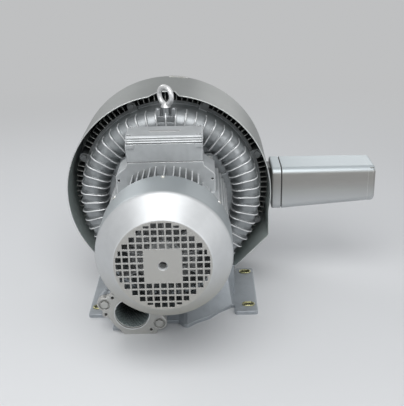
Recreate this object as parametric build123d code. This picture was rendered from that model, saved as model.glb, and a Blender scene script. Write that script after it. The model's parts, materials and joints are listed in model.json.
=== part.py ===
from build123d import *
import os
from math import acos, copysign, cos, degrees, hypot, pi, radians, sin, sqrt

# Two-stage side channel blower on a cast base, driven by a flanged motor.
# Frame: +Z up, +Y away from the motor's fan cowl, +X towards the silencer.
# The origin is on the ground in the middle of the four foot slots. All sizes are in millimetres.

# Fits
RUN_GAP = 0.03        # radial gap between a turning piece and what carries it
SEAT_GAP = 0.05       # radial gap of a fixed piece in its seat
BOLT_GAP = 0.5        # radial gap of a bolt in a clearance hole
THREAD_GAP = 0.02     # radial gap of a bolt in its thread

# Shaft line and base
AXIS_Z = 280.0
FOOT_SPACING_X = 384.0
FOOT_SPACING_Y = 176.0
SLOT_WIDTH = 13.0
SLOT_LENGTH = 26.0
FOOT_THICK = 10.0
FOOT_SIDE_MARGIN = 23.0
FOOT_FRONT_MARGIN = 35.0
FOOT_REAR_MARGIN = 22.0
FOOT_WIDTH = 59.0
BASE_WALL = 8.0
PEDESTAL_TOP = 96.0
CRADLE_GAP = 0.4

# Side channels and casings
CHANNEL_R = 191.0
CHANNEL_BORE = 27.0
CHANNEL_WALL = 7.0
CHANNEL_Y = 7.0
RIB_COUNT = 56
RIB_PHASE = 0.7
RIB_THICK = 4.0
RIB_HEIGHT = 5.0
RIB_CORNER = 18.0
WEB_FRONT = 4.0
WEB_THICK = 10.0
WEB_RIB_COUNT = 8
WEB_RIB_THICK = 5.0
WEB_RIB_HEIGHT = 9.0
SHAFT_HOLE = 36.0
STAGE_WALL = 6.0
IMPELLER_WIDTH = 34.0
IMPELLER_SIDE_GAP = 2.0
IMPELLER_BACK_GAP = 1.0
SPACER_R = 27.0
FRONT_JOINT_Y = 62.0
MIDDLE_WIDTH = 36.0
STRIPPER_ANGLE = 25.0
RING_ROOT_R = 233.0
FIN_TIP_R = 250.0
FIN_COUNT = 108
FIN_THICK = 2.2
FIN_SETBACK = 4.0
LUG_COUNT = 8
LUG_R = 240.0
LUG_RADIUS = 11.0
LUG_THICK = 12.0
CASING_BOLT = 8.0
SEAL_CORD = 3.0
HUB_COVER_R = 45.0
HUB_COVER_DEPTH = 18.0

# Impellers
IMPELLER_BORE = 42.0
IMPELLER_HUB_R = 36.0
IMPELLER_WEB = 8.0
VANE_COUNT = 40
VANE_THICK = 3.5
VANE_ROOT_R = 163.0
IMPELLER_RIM = 8.0
TIP_GAP = 1.5
KEY_WIDTH = 12.0
KEY_HEIGHT = 8.0

# Motor
FRAME_BORE = 104.0
FRAME_WALL = 8.0
FRAME_FIN_R = 142.0
FRAME_FIN_THICK = 3.0
FRAME_FIN_FIRST = 20.5
FRAME_FIN_PITCH = 13.5
FRAME_FRONT = -262.0
EAR_HALF_WIDTH = 112.0
EAR_FRONT = -172.0
EAR_REAR = -84.0
SHIELD_RIM = 14.0
SHIELD_THICK = 12.0
FLANGE_R = 127.0
FLANGE_LOBE_R = 15.0
FLANGE_THICK = 12.0
FLANGE_BOLT_R = 141.0
FLANGE_BOLT = 10.0
STATOR_FRONT = -206.0
STATOR_REAR = -86.0
STATOR_BORE = 72.0
AIR_GAP = 0.8
WINDING_LENGTH = 30.0
WINDING_R_IN = 77.0
WINDING_R_OUT = 98.0
ROTOR_SHAFT_R = 27.0
CAGE_RING_LENGTH = 14.0
SHAFT_FRONT = -338.0
FAN_JOURNAL = 30.0

# Bearings, as (bore, outer diameter, width, ball diameter, ball count)
DRIVE_BEARING = (45.0, 100.0, 25.0, 17.0, 8)
FAN_BEARING = (40.0, 80.0, 18.0, 12.0, 9)
DRIVE_BEARING_FRONT = -39.0
FAN_BEARING_FRONT = -256.0

# Cooling fan and cowl
COWL_R = 147.0
COWL_SHEET = 2.0
COWL_REAR = -246.0
COWL_SHOULDER = -336.0
COWL_FACE = -384.0
COWL_FACE_R = 103.0
COWL_SHOULDER_ROUND = 16.0
COWL_FACE_ROUND = 7.0
COWL_SCREW_ANGLES = (36.0, 90.0, 136.0, 270.0)
GRILLE_HOLE = 11.8
GRILLE_PITCH = 15.2
GRILLE_CELLS = 13
GRILLE_BLANK_CELLS = 5
GRILLE_WHOLE_HOLES = 0.2   # in cells past the outer column, where holes are still whole
GRILLE_HALF_HOLES = 0.4    # and where half a hole is left
GRILLE_TRIM = 6.0
GRILLE_EYE_R = 8.0
GRILLE_DISH_R = 10.5
FAN_R = 118.0
FAN_DISC_R = 41.0
FAN_HUB_R = 26.0
FAN_FRONT = -347.0
FAN_REAR = -292.0
FAN_DISC = 4.0
FAN_BLADES = 9
FAN_BLADE = 3.0

# Terminal box
BOX_HALF_WIDTH = 86.0
BOX_FRONT = -172.0
BOX_REAR = -96.0
BOX_SEAT = 151.0      # above the shaft
BOX_WALL = 5.0
BOX_HEIGHT = 43.5
LID_HEIGHT = 18.5
LID_WALL = 4.0
BOX_SEAL = 1.5
LUG_WIDTH = 16.0
LUG_DROP = 9.0
LUG_REACH = 4.0
PLATE_SIZE = (70.0, 15.0)
CABLE_HOLE = 32.0

# Lifting eye
EYE_X = -2.0
EYE_Y = -12.0
EYE_BOLT = 12.0
EYE_RING_R = 21.0
EYE_RING_THICK = 6.0
EYE_TURN = 44.0
EYE_BOSS_R = 11.0
EYE_BOSS_TOP = 236.0  # above the shaft
EYE_POST_X = 19.0
EYE_POST_R = 5.5
EYE_BLOCK_BOTTOM = 204.0

# Inlet
INLET_X = -94.3
INLET_Z = 57.0
INLET_R = 42.0
INLET_FACE = -202.0
INLET_FLANGE = 16.0
INLET_TURN = -22.7
INLET_BOLT_OUT = 70.0
INLET_BOLT = 10.0
POCKET_R = 14.0
POCKET_DEPTH = 5.0
PORT_HOLES = (116.0, 49.0)
PORT_THREAD = 8.0
DUCT_BORE = 46.0
DUCT_WALL = 6.0
LINER_SHEET = 1.5
LINER_BACK = -52.0
LINER_HOLE = 9.0
LINER_ROWS = 6
LINER_HOLES_ROUND = 14
GASKET = 2.0
NECK_SIZE = (76.0, 50.0)
NECK_HOLE = (56.0, 34.0)
NECK_Y = 3.0
NECK_BOTTOM = 56.0

# Shroud
SHROUD_X = -5.0
SHROUD_R = 260.0
SHROUD_SHEET = 2.0
SHROUD_FRONT = 8.0
SHROUD_BACK = 213.0
SHROUD_FOOT_X = 162.0
SHROUD_FOOT_Z = -211.0
SHROUD_BULGE_Z = -120.0
SHROUD_BULGE_TOP_Z = -48.0
SHROUD_CORNER = 10.0
NOTCH_WIDE = (-46.0, 30.0)
NOTCH_NARROW = (-22.0, 18.0)
NOTCH_DEPTH = 40.0
VENT_COUNT = 24
VENT_WIDTH = 10.0
VENT_R = (118.0, 198.0)
STANDOFF_COUNT = 6
STANDOFF_R = 212.0
STANDOFF_BOLT = 6.0
CLIP_ANGLES = (84.0, 176.0)

# Side silencer
SILENCER_Y = 115.0
SILENCER_Z = -12.5    # above the shaft
SILENCER_ROOT = 288.0
SILENCER_LENGTH = 225.0
SILENCER_CAP = 20.0
SILENCER_ROOT_SIZE = (118.0, 115.0)
SILENCER_END_SIZE = (111.0, 98.0)
SILENCER_END_RISE = 7.5
SILENCER_CORNER = 18.0
SILENCER_WALL = 4.0
OUTLET_FACE = 262.0
OUTLET_BOSS = (48.0, 92.0)
OUTLET_HOLE = (32.0, 60.0)
NECK_PLATE = 6.0
NECK_LENGTH = 17.2
SILENCER_SEAL = 4.0
SILENCER_LINER_R = 24.0
OUTLET_PORT_R = 25.0
OUTLET_PCD = 72.0

# Places worked out from the sizes above
SHAFT_LINE = Axis((0, 0, AXIS_Z), (0, 1, 0))
TUBE_R = CHANNEL_BORE + CHANNEL_WALL
TORUS_IN = CHANNEL_R - TUBE_R
TORUS_OUT = CHANNEL_R + TUBE_R
STAGE_R = TORUS_OUT - STAGE_WALL
REAR_JOINT_Y = FRONT_JOINT_Y + MIDDLE_WIDTH
FRONT_IMPELLER_Y = FRONT_JOINT_Y - IMPELLER_BACK_GAP - IMPELLER_WIDTH
REAR_IMPELLER_Y = REAR_JOINT_Y + IMPELLER_BACK_GAP
MIRROR_Y = (FRONT_JOINT_Y + REAR_JOINT_Y) / 2
FRAME_R = FRAME_BORE + FRAME_WALL
FRAME_REAR = WEB_FRONT - FLANGE_THICK
PARTS = {}


def across(sketch, y_front, y_back, height=AXIS_Z):
    """Solid whose section is drawn across the shaft as (x, height above the shaft)."""
    plane = Plane(origin=(0, y_back, height), x_dir=(1, 0, 0), z_dir=(0, -1, 0))
    return extrude(plane * sketch, amount=y_back - y_front)


def turned(profile, arc=360):
    """Solid turned about the shaft from a profile drawn as (radius, y)."""
    return revolve(Plane.XY.offset(AXIS_Z) * profile, SHAFT_LINE, arc)


def disc(radius, y_front, y_back):
    """Round bar on the shaft line."""
    return across(Circle(radius), y_front, y_back)


def ring(radius_in, radius_out, y_front, y_back):
    """Plain ring on the shaft line."""
    return across(Circle(radius_out) - Circle(radius_in), y_front, y_back)


def area(*curves):
    """Face inside a closed run of curves."""
    outline = Curve() + list(curves)
    return make_face(outline)


def polygon(*points):
    """Face inside straight sides."""
    return make_face(Polyline(*points, close=True))


def about(shape, angle):
    """Turn a shape about the shaft; the angle runs from +X towards +Z."""
    return shape.rotate(SHAFT_LINE, -angle)


def round_the_shaft(shape, count, first=0.0):
    """Equal copies of a shape round the shaft."""
    return [about(shape, first + step * 360 / count) for step in range(count)]


def polar(radius, angle):
    """Place across the shaft as (x, height above the shaft)."""
    return radius * cos(radians(angle)), radius * sin(radians(angle))


def block(x_range, y_range, z_range):
    """Straight-sided block between three pairs of limits."""
    size = [high - low for low, high in (x_range, y_range, z_range)]
    middle = [(high + low) / 2 for low, high in (x_range, y_range, z_range)]
    return Pos(*middle) * Box(*size)


def hex_bolt(diameter, length, head_width, head_height):
    """Hex bolt along +Z with its head below z = 0."""
    head = extrude(RegularPolygon(head_width / sqrt(3), 6), -head_height)
    crown = Pos(0, 0, -head_height / 2) * Cylinder(head_width * 0.56, head_height)
    crown = chamfer(crown.edges().sort_by(Axis.Z)[0], head_width * 0.06)
    shank = Pos(0, 0, length / 2) * Cylinder(diameter / 2, length)
    return (head & crown) + shank


def pan_screw(diameter, length):
    """Round-headed screw along +Z with a cross slot and its head below z = 0."""
    head = Pos(0, 0, -diameter * 0.3) * Cylinder(diameter * 0.95, diameter * 0.6)
    head = fillet(head.edges().sort_by(Axis.Z)[0], diameter * 0.4)
    slot = Pos(0, 0, -diameter * 0.6) * Box(diameter, diameter * 0.2, diameter * 0.6)
    shank = Pos(0, 0, length / 2) * Cylinder(diameter / 2, length)
    return head - slot - slot.rotate(Axis.Z, 90) + shank


def placed(shape, origin, direction):
    """Carry a shape made along +Z to a place and direction."""
    return Plane(origin=origin, z_dir=direction) * shape


def keep(name, shape, *more):
    """Write one piece, or a group of like pieces, to its own file."""
    solids = [solid for item in (shape, *more) for solid in item.solids()]
    group = solids[0] if len(solids) == 1 else Compound(children=solids)
    PARTS[name] = group
    export_step(group, f"parts/{name}.step")


def half_tube(radius, sign, mouth):
    """Section of half a side channel: a half round with straight sides to its mouth."""
    crest = (CHANNEL_R, -radius)
    bow = ThreePointArc((CHANNEL_R - radius, 0), crest, (CHANNEL_R + radius, 0))
    sides = Polyline((CHANNEL_R + radius, 0), (CHANNEL_R + radius, mouth),
                     (CHANNEL_R - radius, mouth), (CHANNEL_R - radius, 0))
    section = area(bow, sides)
    section = Pos(0, CHANNEL_Y) * section
    return section if sign > 0 else mirror(section, Plane.XZ.offset(-MIRROR_Y))


def rib_section():
    """Outline of one cooling rib over the side channel, drawn as (radius, y)."""
    crest = CHANNEL_Y - TUBE_R - RIB_HEIGHT
    bend = crest + RIB_CORNER
    lean = RIB_CORNER * (1 - cos(pi / 4))
    inner = ThreePointArc((TORUS_IN, bend), (TORUS_IN + lean, crest + lean), (TORUS_IN + RIB_CORNER, crest))
    top = Line((TORUS_IN + RIB_CORNER, crest), (TORUS_OUT - RIB_CORNER, crest))
    outer = ThreePointArc((TORUS_OUT - RIB_CORNER, crest), (TORUS_OUT - lean, crest + lean), (TORUS_OUT, bend))
    back = Polyline((TORUS_OUT, bend), (TORUS_OUT, CHANNEL_Y + 10), (TORUS_IN, WEB_FRONT + 1), (TORUS_IN, bend))
    return area(inner, top, outer, back)


def cooling_rib():
    """One rib at the +X side of the front casing."""
    return extrude(Plane.XY.offset(AXIS_Z) * rib_section(), RIB_THICK / 2, both=True)


def casing_shell():
    """Front half of a side channel casing with its ribs, before its channel is cut."""
    seal_land = FRONT_IMPELLER_Y - IMPELLER_SIDE_GAP
    outline = half_tube(TUBE_R, 1, seal_land - CHANNEL_Y)
    web = Pos((SHAFT_HOLE + TORUS_IN + 4) / 2, WEB_FRONT + WEB_THICK / 2)
    web *= Rectangle(TORUS_IN + 4 - SHAFT_HOLE, WEB_THICK)
    land = Pos(CHANNEL_R - CHANNEL_BORE - 8, (WEB_FRONT + seal_land) / 2) * Rectangle(16, seal_land - WEB_FRONT)
    drum_length = FRONT_JOINT_Y - CHANNEL_Y
    drum = Pos(TORUS_OUT - STAGE_WALL / 2, CHANNEL_Y + drum_length / 2) * Rectangle(STAGE_WALL, drum_length)
    body = turned(Sketch() + [outline, web, land, drum])
    ribs = round_the_shaft(cooling_rib(), RIB_COUNT, 90 + RIB_PHASE)
    return body + ribs


def channel_cut(mouth):
    """The air channel, which stops short at the stripper between its two ends."""
    cut = turned(half_tube(CHANNEL_BORE, 1, mouth - CHANNEL_Y), 360 - STRIPPER_ANGLE)
    return about(cut, -90 - STRIPPER_ANGLE / 2)


def lug_angles():
    """Angles of the casing bolts round the shaft."""
    return [(step + 0.5) * 360 / LUG_COUNT for step in range(LUG_COUNT)]


def lug_ring(y_front, y_back, root, hole_r):
    """Bolt lugs of one casing with their holes."""
    lugs = Sketch()
    for angle in lug_angles():
        lug = Rot(0, 0, angle) * (Pos(LUG_R, 0) * Circle(LUG_RADIUS)
                                  + Pos((LUG_R + root - 4) / 2, 0) * Rectangle(LUG_R - root + 4, 2 * LUG_RADIUS))
        lugs += lug
    for angle in lug_angles():
        lugs -= Pos(*polar(LUG_R, angle)) * Circle(hole_r)
    return across(lugs, y_front, y_back)


def fin_ring(root, y_front, y_back):
    """Ring of thin cooling fins, left open where the bolt lugs stand."""
    points = []
    clear = degrees((LUG_RADIUS + FIN_THICK) / root)
    half_root, half_tip = (degrees(FIN_THICK / 2 / radius) for radius in (root, FIN_TIP_R))
    for step in range(FIN_COUNT):
        angle = (step + 0.5) * 360 / FIN_COUNT
        if min(abs(angle - lug) for lug in lug_angles()) < clear:
            points.append(polar(root, angle))
            continue
        points += [polar(root, angle - half_root), polar(FIN_TIP_R, angle - half_tip)]
        points += [polar(FIN_TIP_R, angle + half_tip), polar(root, angle + half_root)]
    return across(polygon(*points) - Circle(root - 2), y_front, y_back)


def seal_groove(y_joint):
    """Groove for the sealing cord in a joint face."""
    middle = (STAGE_R + TORUS_OUT) / 2
    return ring(middle - SEAL_CORD / 2, middle + SEAL_CORD / 2, y_joint - SEAL_CORD / 2, y_joint + SEAL_CORD / 2)


def neck_block(z_low, z_high):
    """Block of the passage that lets air from the base duct into the front casing."""
    x_range = (INLET_X - NECK_SIZE[0] / 2, INLET_X + NECK_SIZE[0] / 2)
    return block(x_range, (NECK_Y - NECK_SIZE[1] / 2, NECK_Y + NECK_SIZE[1] / 2), (z_low, z_high))


def neck_passage(z_low, z_high):
    """Air passage through that neck."""
    x_range = (INLET_X - NECK_HOLE[0] / 2, INLET_X + NECK_HOLE[0] / 2)
    return block(x_range, (NECK_Y - NECK_HOLE[1] / 2, NECK_Y + NECK_HOLE[1] / 2), (z_low, z_high))


FRONT_PADS = ((50.0, 22.0, 50.0), (118.0, 22.0, 74.0))
MIDDLE_PADS = ((-118.0, 80.0, 56.0), (118.0, 80.0, 56.0))
PAD_R = 14.0
BASE_BOLT = 10.0
BASE_THREAD_DEPTH = 15.0


def casing_pads(pads, rise):
    """Flat-bottomed bosses by which a casing sits on the base."""
    return [Pos(x, y, z + rise / 2) * Cylinder(PAD_R, rise) for x, y, z in pads]


def casing_pad_holes(pads):
    """Blind threaded holes in those bosses."""
    return [Pos(x, y, z + BASE_THREAD_DEPTH / 2) * Cylinder(BASE_BOLT / 2 + THREAD_GAP, BASE_THREAD_DEPTH)
            for x, y, z in pads]


def eye_boss():
    """Block on top of the front casing that carries the lifting eye between two posts."""
    low, high = AXIS_Z + EYE_BLOCK_BOTTOM, AXIS_Z + EYE_BOSS_TOP
    half = EYE_POST_X + EYE_POST_R
    front = CHANNEL_Y - TUBE_R - 2
    lump = block((EYE_X - half, EYE_X + half), (front, front + 26), (low, low + 12))
    column = Pos(EYE_X, EYE_Y, (low + high) / 2) * Cylinder(EYE_BOSS_R, high - low)
    posts = []
    for side in (-1, 1):
        post = Pos(EYE_X + side * EYE_POST_X, front + EYE_POST_R, (low + high) / 2)
        post *= Cylinder(EYE_POST_R, high - low)
        posts.append(fillet(post.edges().sort_by(Axis.Z)[-1], EYE_POST_R * 0.6))
        posts.append(block((EYE_X + side * EYE_POST_X - EYE_POST_R, EYE_X + side * EYE_POST_X + EYE_POST_R),
                           (front + EYE_POST_R, front + 34), (low, high - 8)))
    return [lump, column, *posts]


def front_casing(shell):
    """Ribbed casing of the first stage, with its flange for the motor."""
    web_rib = polygon((FLANGE_R + 1, WEB_FRONT + 1), (FLANGE_R + 1, WEB_FRONT - WEB_RIB_HEIGHT),
                      (TORUS_IN + 6, WEB_FRONT - WEB_RIB_HEIGHT), (TORUS_IN + 6, WEB_FRONT + 1))
    web_rib = extrude(Plane.XY.offset(AXIS_Z) * web_rib, WEB_RIB_THICK / 2, both=True)
    shell += round_the_shaft(web_rib, WEB_RIB_COUNT, 22.5)
    shell += [*eye_boss(), *casing_pads(FRONT_PADS, 18), neck_block(NECK_BOTTOM, AXIS_Z - 160)]
    shell += lug_ring(FRONT_JOINT_Y - LUG_THICK, FRONT_JOINT_Y, TORUS_OUT, CASING_BOLT / 2 + BOLT_GAP)
    shell -= channel_cut(FRONT_JOINT_Y)
    shell -= ring(SHAFT_HOLE, STAGE_R, FRONT_IMPELLER_Y - IMPELLER_SIDE_GAP, FRONT_JOINT_Y + 1)
    eye_thread = Pos(EYE_X, EYE_Y, AXIS_Z + EYE_BOSS_TOP - 10) * Cylinder(EYE_BOLT / 2 + THREAD_GAP, 20)
    shell -= [neck_passage(NECK_BOTTOM - 1, AXIS_Z - CHANNEL_R + 40), eye_thread, seal_groove(FRONT_JOINT_Y)]
    shell -= casing_pad_holes(FRONT_PADS)
    for angle in flange_bolt_angles():
        x, z = polar(FLANGE_BOLT_R, angle)
        shell -= Pos(x, WEB_FRONT + WEB_THICK / 2, AXIS_Z + z) * Rot(90, 0, 0) * Cylinder(
            FLANGE_BOLT / 2 + THREAD_GAP, WEB_THICK)
    return shell


def flange_bolt_angles():
    """Angles of the bolts that hold the motor to the front casing."""
    return [45 + step * 90 for step in range(4)]


def middle_casing():
    """Finned wall between the two stages, with half of each side channel in its faces."""
    body = ring(SHAFT_HOLE, RING_ROOT_R, FRONT_JOINT_Y, REAR_JOINT_Y)
    body += fin_ring(RING_ROOT_R, FRONT_JOINT_Y + FIN_SETBACK, REAR_JOINT_Y)
    body += lug_ring(FRONT_JOINT_Y, REAR_JOINT_Y, RING_ROOT_R, CASING_BOLT / 2 + BOLT_GAP)
    body += casing_pads(MIDDLE_PADS, 26)
    depth = (MIDDLE_WIDTH - WEB_THICK) / 2
    recess = ring(SHAFT_HOLE - 1, CHANNEL_R - CHANNEL_BORE - 16, FRONT_JOINT_Y - 1, FRONT_JOINT_Y + depth)
    bow = ThreePointArc((CHANNEL_R - CHANNEL_BORE, 0), (CHANNEL_R, depth), (CHANNEL_R + CHANNEL_BORE, 0))
    groove = area(bow, Line((CHANNEL_R + CHANNEL_BORE, 0), (CHANNEL_R - CHANNEL_BORE, 0)))
    groove = turned(Pos(0, FRONT_JOINT_Y) * groove, 360 - STRIPPER_ANGLE)
    groove = about(groove, -90 - STRIPPER_ANGLE / 2)
    mid_plane = Plane.XZ.offset(-MIRROR_Y)
    body -= [recess, groove, mirror(recess, mid_plane), mirror(groove, mid_plane)]
    body -= [seal_groove(FRONT_JOINT_Y), seal_groove(REAR_JOINT_Y), *casing_pad_holes(MIDDLE_PADS)]
    return body


def outlet_block(size, x_range):
    """Block of the outlet passage on the silencer's axis, sized (depth, height)."""
    depth, height = size
    middle = AXIS_Z + SILENCER_Z
    return block(x_range, (OUTLET_Y - depth / 2, OUTLET_Y + depth / 2), (middle - height / 2, middle + height / 2))


OUTLET_Y = 127.0


def rear_casing(shell):
    """Ribbed casing of the second stage with the outlet boss, closed over the shaft end."""
    mid_plane = Plane.XZ.offset(-MIRROR_Y)
    shell = mirror(shell, mid_plane)
    back_web = 2 * MIRROR_Y - WEB_FRONT
    shell += lug_ring(REAR_JOINT_Y, REAR_JOINT_Y + 2 * LUG_THICK, TORUS_OUT, CASING_BOLT / 2 + THREAD_GAP)
    shell += outlet_block(OUTLET_BOSS, (TORUS_OUT - 10, OUTLET_FACE))
    shell -= mirror(channel_cut(FRONT_JOINT_Y), mid_plane)
    inside = ring(SHAFT_HOLE, STAGE_R, FRONT_IMPELLER_Y - IMPELLER_SIDE_GAP, FRONT_JOINT_Y + 1)
    shell -= mirror(inside, mid_plane)
    shell -= [outlet_block(OUTLET_HOLE, (CHANNEL_R, OUTLET_FACE + 1)), seal_groove(REAR_JOINT_Y)]
    thread = Rot(0, 90, 0) * Cylinder(3 + THREAD_GAP, 26)
    shell -= [Pos(OUTLET_FACE, y, z) * thread for _, y, z in neck_screw_places()]
    shell += disc(HUB_COVER_R, back_web - WEB_THICK, back_web + HUB_COVER_DEPTH)
    shell -= disc(SHAFT_HOLE, back_web - WEB_THICK - 1, back_web + HUB_COVER_DEPTH - BASE_WALL)
    for angle in standoff_angles():
        x, z = polar(STANDOFF_R, angle)
        shell += Pos(x, STANDOFF_SEAT - 10, AXIS_Z + z) * Rot(90, 0, 0) * Cylinder(9, 20)
        shell -= Pos(x, STANDOFF_SEAT - 8, AXIS_Z + z) * Rot(90, 0, 0) * Cylinder(STANDOFF_BOLT / 2 + THREAD_GAP, 16)
    return shell


STANDOFF_SEAT = 2 * MIRROR_Y - CHANNEL_Y + TUBE_R + 6


def standoff_angles():
    """Angles of the standoffs that hold the shroud to the rear casing."""
    return [30 + step * 360 / STANDOFF_COUNT for step in range(STANDOFF_COUNT)]


def casing_bolts():
    """Bolts that clamp the three casings together, with their heads at the front."""
    length = LUG_THICK + MIDDLE_WIDTH + LUG_THICK
    bolt = hex_bolt(CASING_BOLT, length, 13.0, 5.3)
    seat = FRONT_JOINT_Y - LUG_THICK
    places = [polar(LUG_R, angle) for angle in lug_angles()]
    return [placed(bolt, (x, seat, AXIS_Z + z), (0, 1, 0)) for x, z in places]


def joint_seal(y_joint):
    """Sealing cord laid in the groove of a joint."""
    middle = (STAGE_R + TORUS_OUT) / 2
    cord = Pos(middle, y_joint) * Circle(SEAL_CORD / 2 - SEAT_GAP)
    return turned(cord)


def impeller(y_front):
    """Impeller with straight vanes round its rim and a wall between their two sides."""
    tip = STAGE_R - TIP_GAP
    points = []
    for step in range(VANE_COUNT):
        angle = step * 360 / VANE_COUNT
        root_half, tip_half = (degrees(VANE_THICK / 2 / radius) for radius in (VANE_ROOT_R, tip))
        points += [polar(VANE_ROOT_R, angle - root_half), polar(tip, angle - tip_half)]
        points += [polar(tip, angle + tip_half), polar(VANE_ROOT_R, angle + root_half)]
    y_back = y_front + IMPELLER_WIDTH
    middle = (y_front + y_back) / 2
    body = across(polygon(*points) - Circle(VANE_ROOT_R - IMPELLER_RIM), y_front, y_back)
    body += disc(VANE_ROOT_R - 1, middle - IMPELLER_WEB / 2, middle + IMPELLER_WEB / 2)
    body += ring(VANE_ROOT_R - 2, tip, middle - IMPELLER_WEB / 4, middle + IMPELLER_WEB / 4)
    body += disc(IMPELLER_HUB_R - 4, y_front, y_back)
    body -= disc(IMPELLER_BORE / 2 + THREAD_GAP, y_front - 1, y_back + 1)
    body -= key_block(y_front - 1, y_back + 1, THREAD_GAP)
    return body


def key_block(y_front, y_back, gap=0.0):
    """Key in the top of the shaft, or its way when a gap is given."""
    low = IMPELLER_BORE / 2 - KEY_HEIGHT * 0.6 - gap
    high = low + KEY_HEIGHT + 2 * gap
    half = KEY_WIDTH / 2 + gap
    return block((-half, half), (y_front, y_back), (AXIS_Z + low, AXIS_Z + high))


def fin_positions():
    """Offsets of the frame's fins to one side of its middle fin."""
    outer = [FRAME_FIN_FIRST + step * FRAME_FIN_PITCH for step in range(5)]
    return [0.0, *outer, *(-offset for offset in outer)]


def frame_section():
    """Section of the motor frame: its barrel with parallel fins up, down and to both sides."""
    length = FRAME_FIN_R - FRAME_BORE * 0.8
    fins = Sketch()
    for turn in (0, 90, 180, 270):
        for offset in fin_positions():
            fins += Rot(0, 0, turn) * Pos(FRAME_FIN_R - length / 2, offset) * Rectangle(length, FRAME_FIN_THICK)
    bosses = [Rot(0, 0, angle) * Pos(FRAME_BORE + 11, 0) * Rectangle(30, 24) for angle in flange_bolt_angles()]
    section = Circle(FRAME_R) + (fins & Circle(FRAME_FIN_R)) + bosses
    return section - Circle(FRAME_BORE)


def ear_section():
    """Section of the terminal box seat, which flares out into the two lifting ears."""
    side = [(BOX_HALF_WIDTH, BOX_SEAT), (BOX_HALF_WIDTH + 2, BOX_SEAT - 11), (EAR_HALF_WIDTH, BOX_SEAT - 30),
            (EAR_HALF_WIDTH, BOX_SEAT - 74), (EAR_HALF_WIDTH - 14, BOX_SEAT - 89), (0, BOX_SEAT - 89)]
    other = [(-x, z) for x, z in reversed(side)]
    return polygon(*side, *other[1:])


def motor_frame():
    """Finned motor frame with the terminal box seat cast on."""
    body = across(frame_section(), FRAME_FRONT, FRAME_REAR)
    ears = across(ear_section(), EAR_FRONT, EAR_REAR)
    ears = fillet(ears.edges().filter_by(Axis.Y).group_by(Axis.X)[-1], 4)
    ears = fillet(ears.edges().filter_by(Axis.Y).group_by(Axis.X)[0], 4)
    body += ears - disc(FRAME_BORE + 1, EAR_FRONT - 1, EAR_REAR + 1)
    rim = COWL_REAR - 10
    body -= ring(COWL_R - COWL_SHEET - 1, COWL_R + 20, FRAME_FRONT - 1, COWL_REAR)
    for angle in COWL_SCREW_ANGLES:
        lug = across(Rot(0, 0, angle) * Pos(FRAME_BORE + 20, 0) * Rectangle(36, 14), FRAME_FRONT, COWL_REAR - 1)
        lug &= disc(COWL_R - COWL_SHEET - SEAT_GAP, FRAME_FRONT, COWL_REAR)
        body += lug
    for angle in COWL_SCREW_ANGLES:
        hole = Pos(FRAME_FIN_R - 6, rim, AXIS_Z) * Rot(0, 90, 0) * Cylinder(2.5 + THREAD_GAP, 24)
        body -= about(hole, angle)
    ear_hole = Pos(0, EAR_FRONT + 10, 0) * Rot(90, 0, 0) * Cylinder(3, 20)
    body -= [Pos(side * (EAR_HALF_WIDTH - 6), 0, AXIS_Z + BOX_SEAT - 42) * ear_hole for side in (-1, 1)]
    cable_way = Pos(0, (BOX_FRONT + BOX_REAR) / 2, AXIS_Z + BOX_SEAT - 25) * Cylinder(18, 52)
    body -= cable_way
    for angle in flange_bolt_angles():
        x, z = polar(SHIELD_BOLT_R, angle)
        body -= Pos(x, FRAME_FRONT + 12, AXIS_Z + z) * Rot(90, 0, 0) * Cylinder(4 + THREAD_GAP, 28)
    body -= [Pos(x, y, AXIS_Z + BOX_SEAT - 8) * Cylinder(2.5 + THREAD_GAP, 17) for x, y in box_screw_places()]
    return body


SHIELD_BOLT_R = 118.0


def box_screw_places():
    """Places of the screws that hold the terminal box to its seat."""
    return [(side * (BOX_HALF_WIDTH - 18), y) for side in (-1, 1) for y in (BOX_FRONT + 16, BOX_REAR - 16)]


def drive_shield():
    """End shield at the blower side: it holds the large bearing and bolts to the front casing."""
    bore, outer, width, _, _ = DRIVE_BEARING
    plate = Circle(FLANGE_R)
    for angle in flange_bolt_angles():
        plate += Rot(0, 0, angle) * Pos(FLANGE_BOLT_R / 2, 0) * SlotCenterToCenter(FLANGE_BOLT_R, 2 * FLANGE_LOBE_R)
    body = across(plate, WEB_FRONT - FLANGE_THICK, WEB_FRONT) + disc(FRAME_BORE - SEAT_GAP, -26, WEB_FRONT)
    body += disc(outer / 2 + SHIELD_THICK, DRIVE_BEARING_FRONT - 4, WEB_FRONT)
    body -= disc(outer / 2 + SEAT_GAP, DRIVE_BEARING_FRONT - 5, DRIVE_BEARING_FRONT + width)
    body -= ring(outer / 2 + SHIELD_THICK, FRAME_BORE - 10, -27, WEB_FRONT - FLANGE_THICK)
    body -= disc(SHAFT_HOLE, DRIVE_BEARING_FRONT + width - 1, WEB_FRONT + 1)
    for angle in flange_bolt_angles():
        x, z = polar(FLANGE_BOLT_R, angle)
        body -= Pos(x, WEB_FRONT - FLANGE_THICK / 2, AXIS_Z + z) * Rot(90, 0, 0) * Cylinder(
            FLANGE_BOLT / 2 + BOLT_GAP, FLANGE_THICK + 2)
    return body


def fan_shield():
    """End shield at the fan side, which holds the small bearing and its spring."""
    bore, outer, width, _, _ = FAN_BEARING
    inner = FRAME_FRONT
    body = disc(FRAME_R + 14, inner - 8, inner) + disc(FRAME_BORE - SEAT_GAP, inner, inner + 6)
    body += disc(outer / 2 + SHIELD_THICK, inner - 8, FAN_BEARING_FRONT + width + 4)
    body -= disc(outer / 2 + SEAT_GAP, FAN_BEARING_FRONT - SPRING_THICK, FAN_BEARING_FRONT + width + 5)
    body -= disc(ROTOR_SHAFT_R - 4, inner - 9, inner + 9)
    for angle in flange_bolt_angles():
        x, z = polar(SHIELD_BOLT_R, angle)
        body -= Pos(x, inner - 4, AXIS_Z + z) * Rot(90, 0, 0) * Cylinder(4 + BOLT_GAP, 9)
    return body


SPRING_THICK = 3.0


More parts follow.
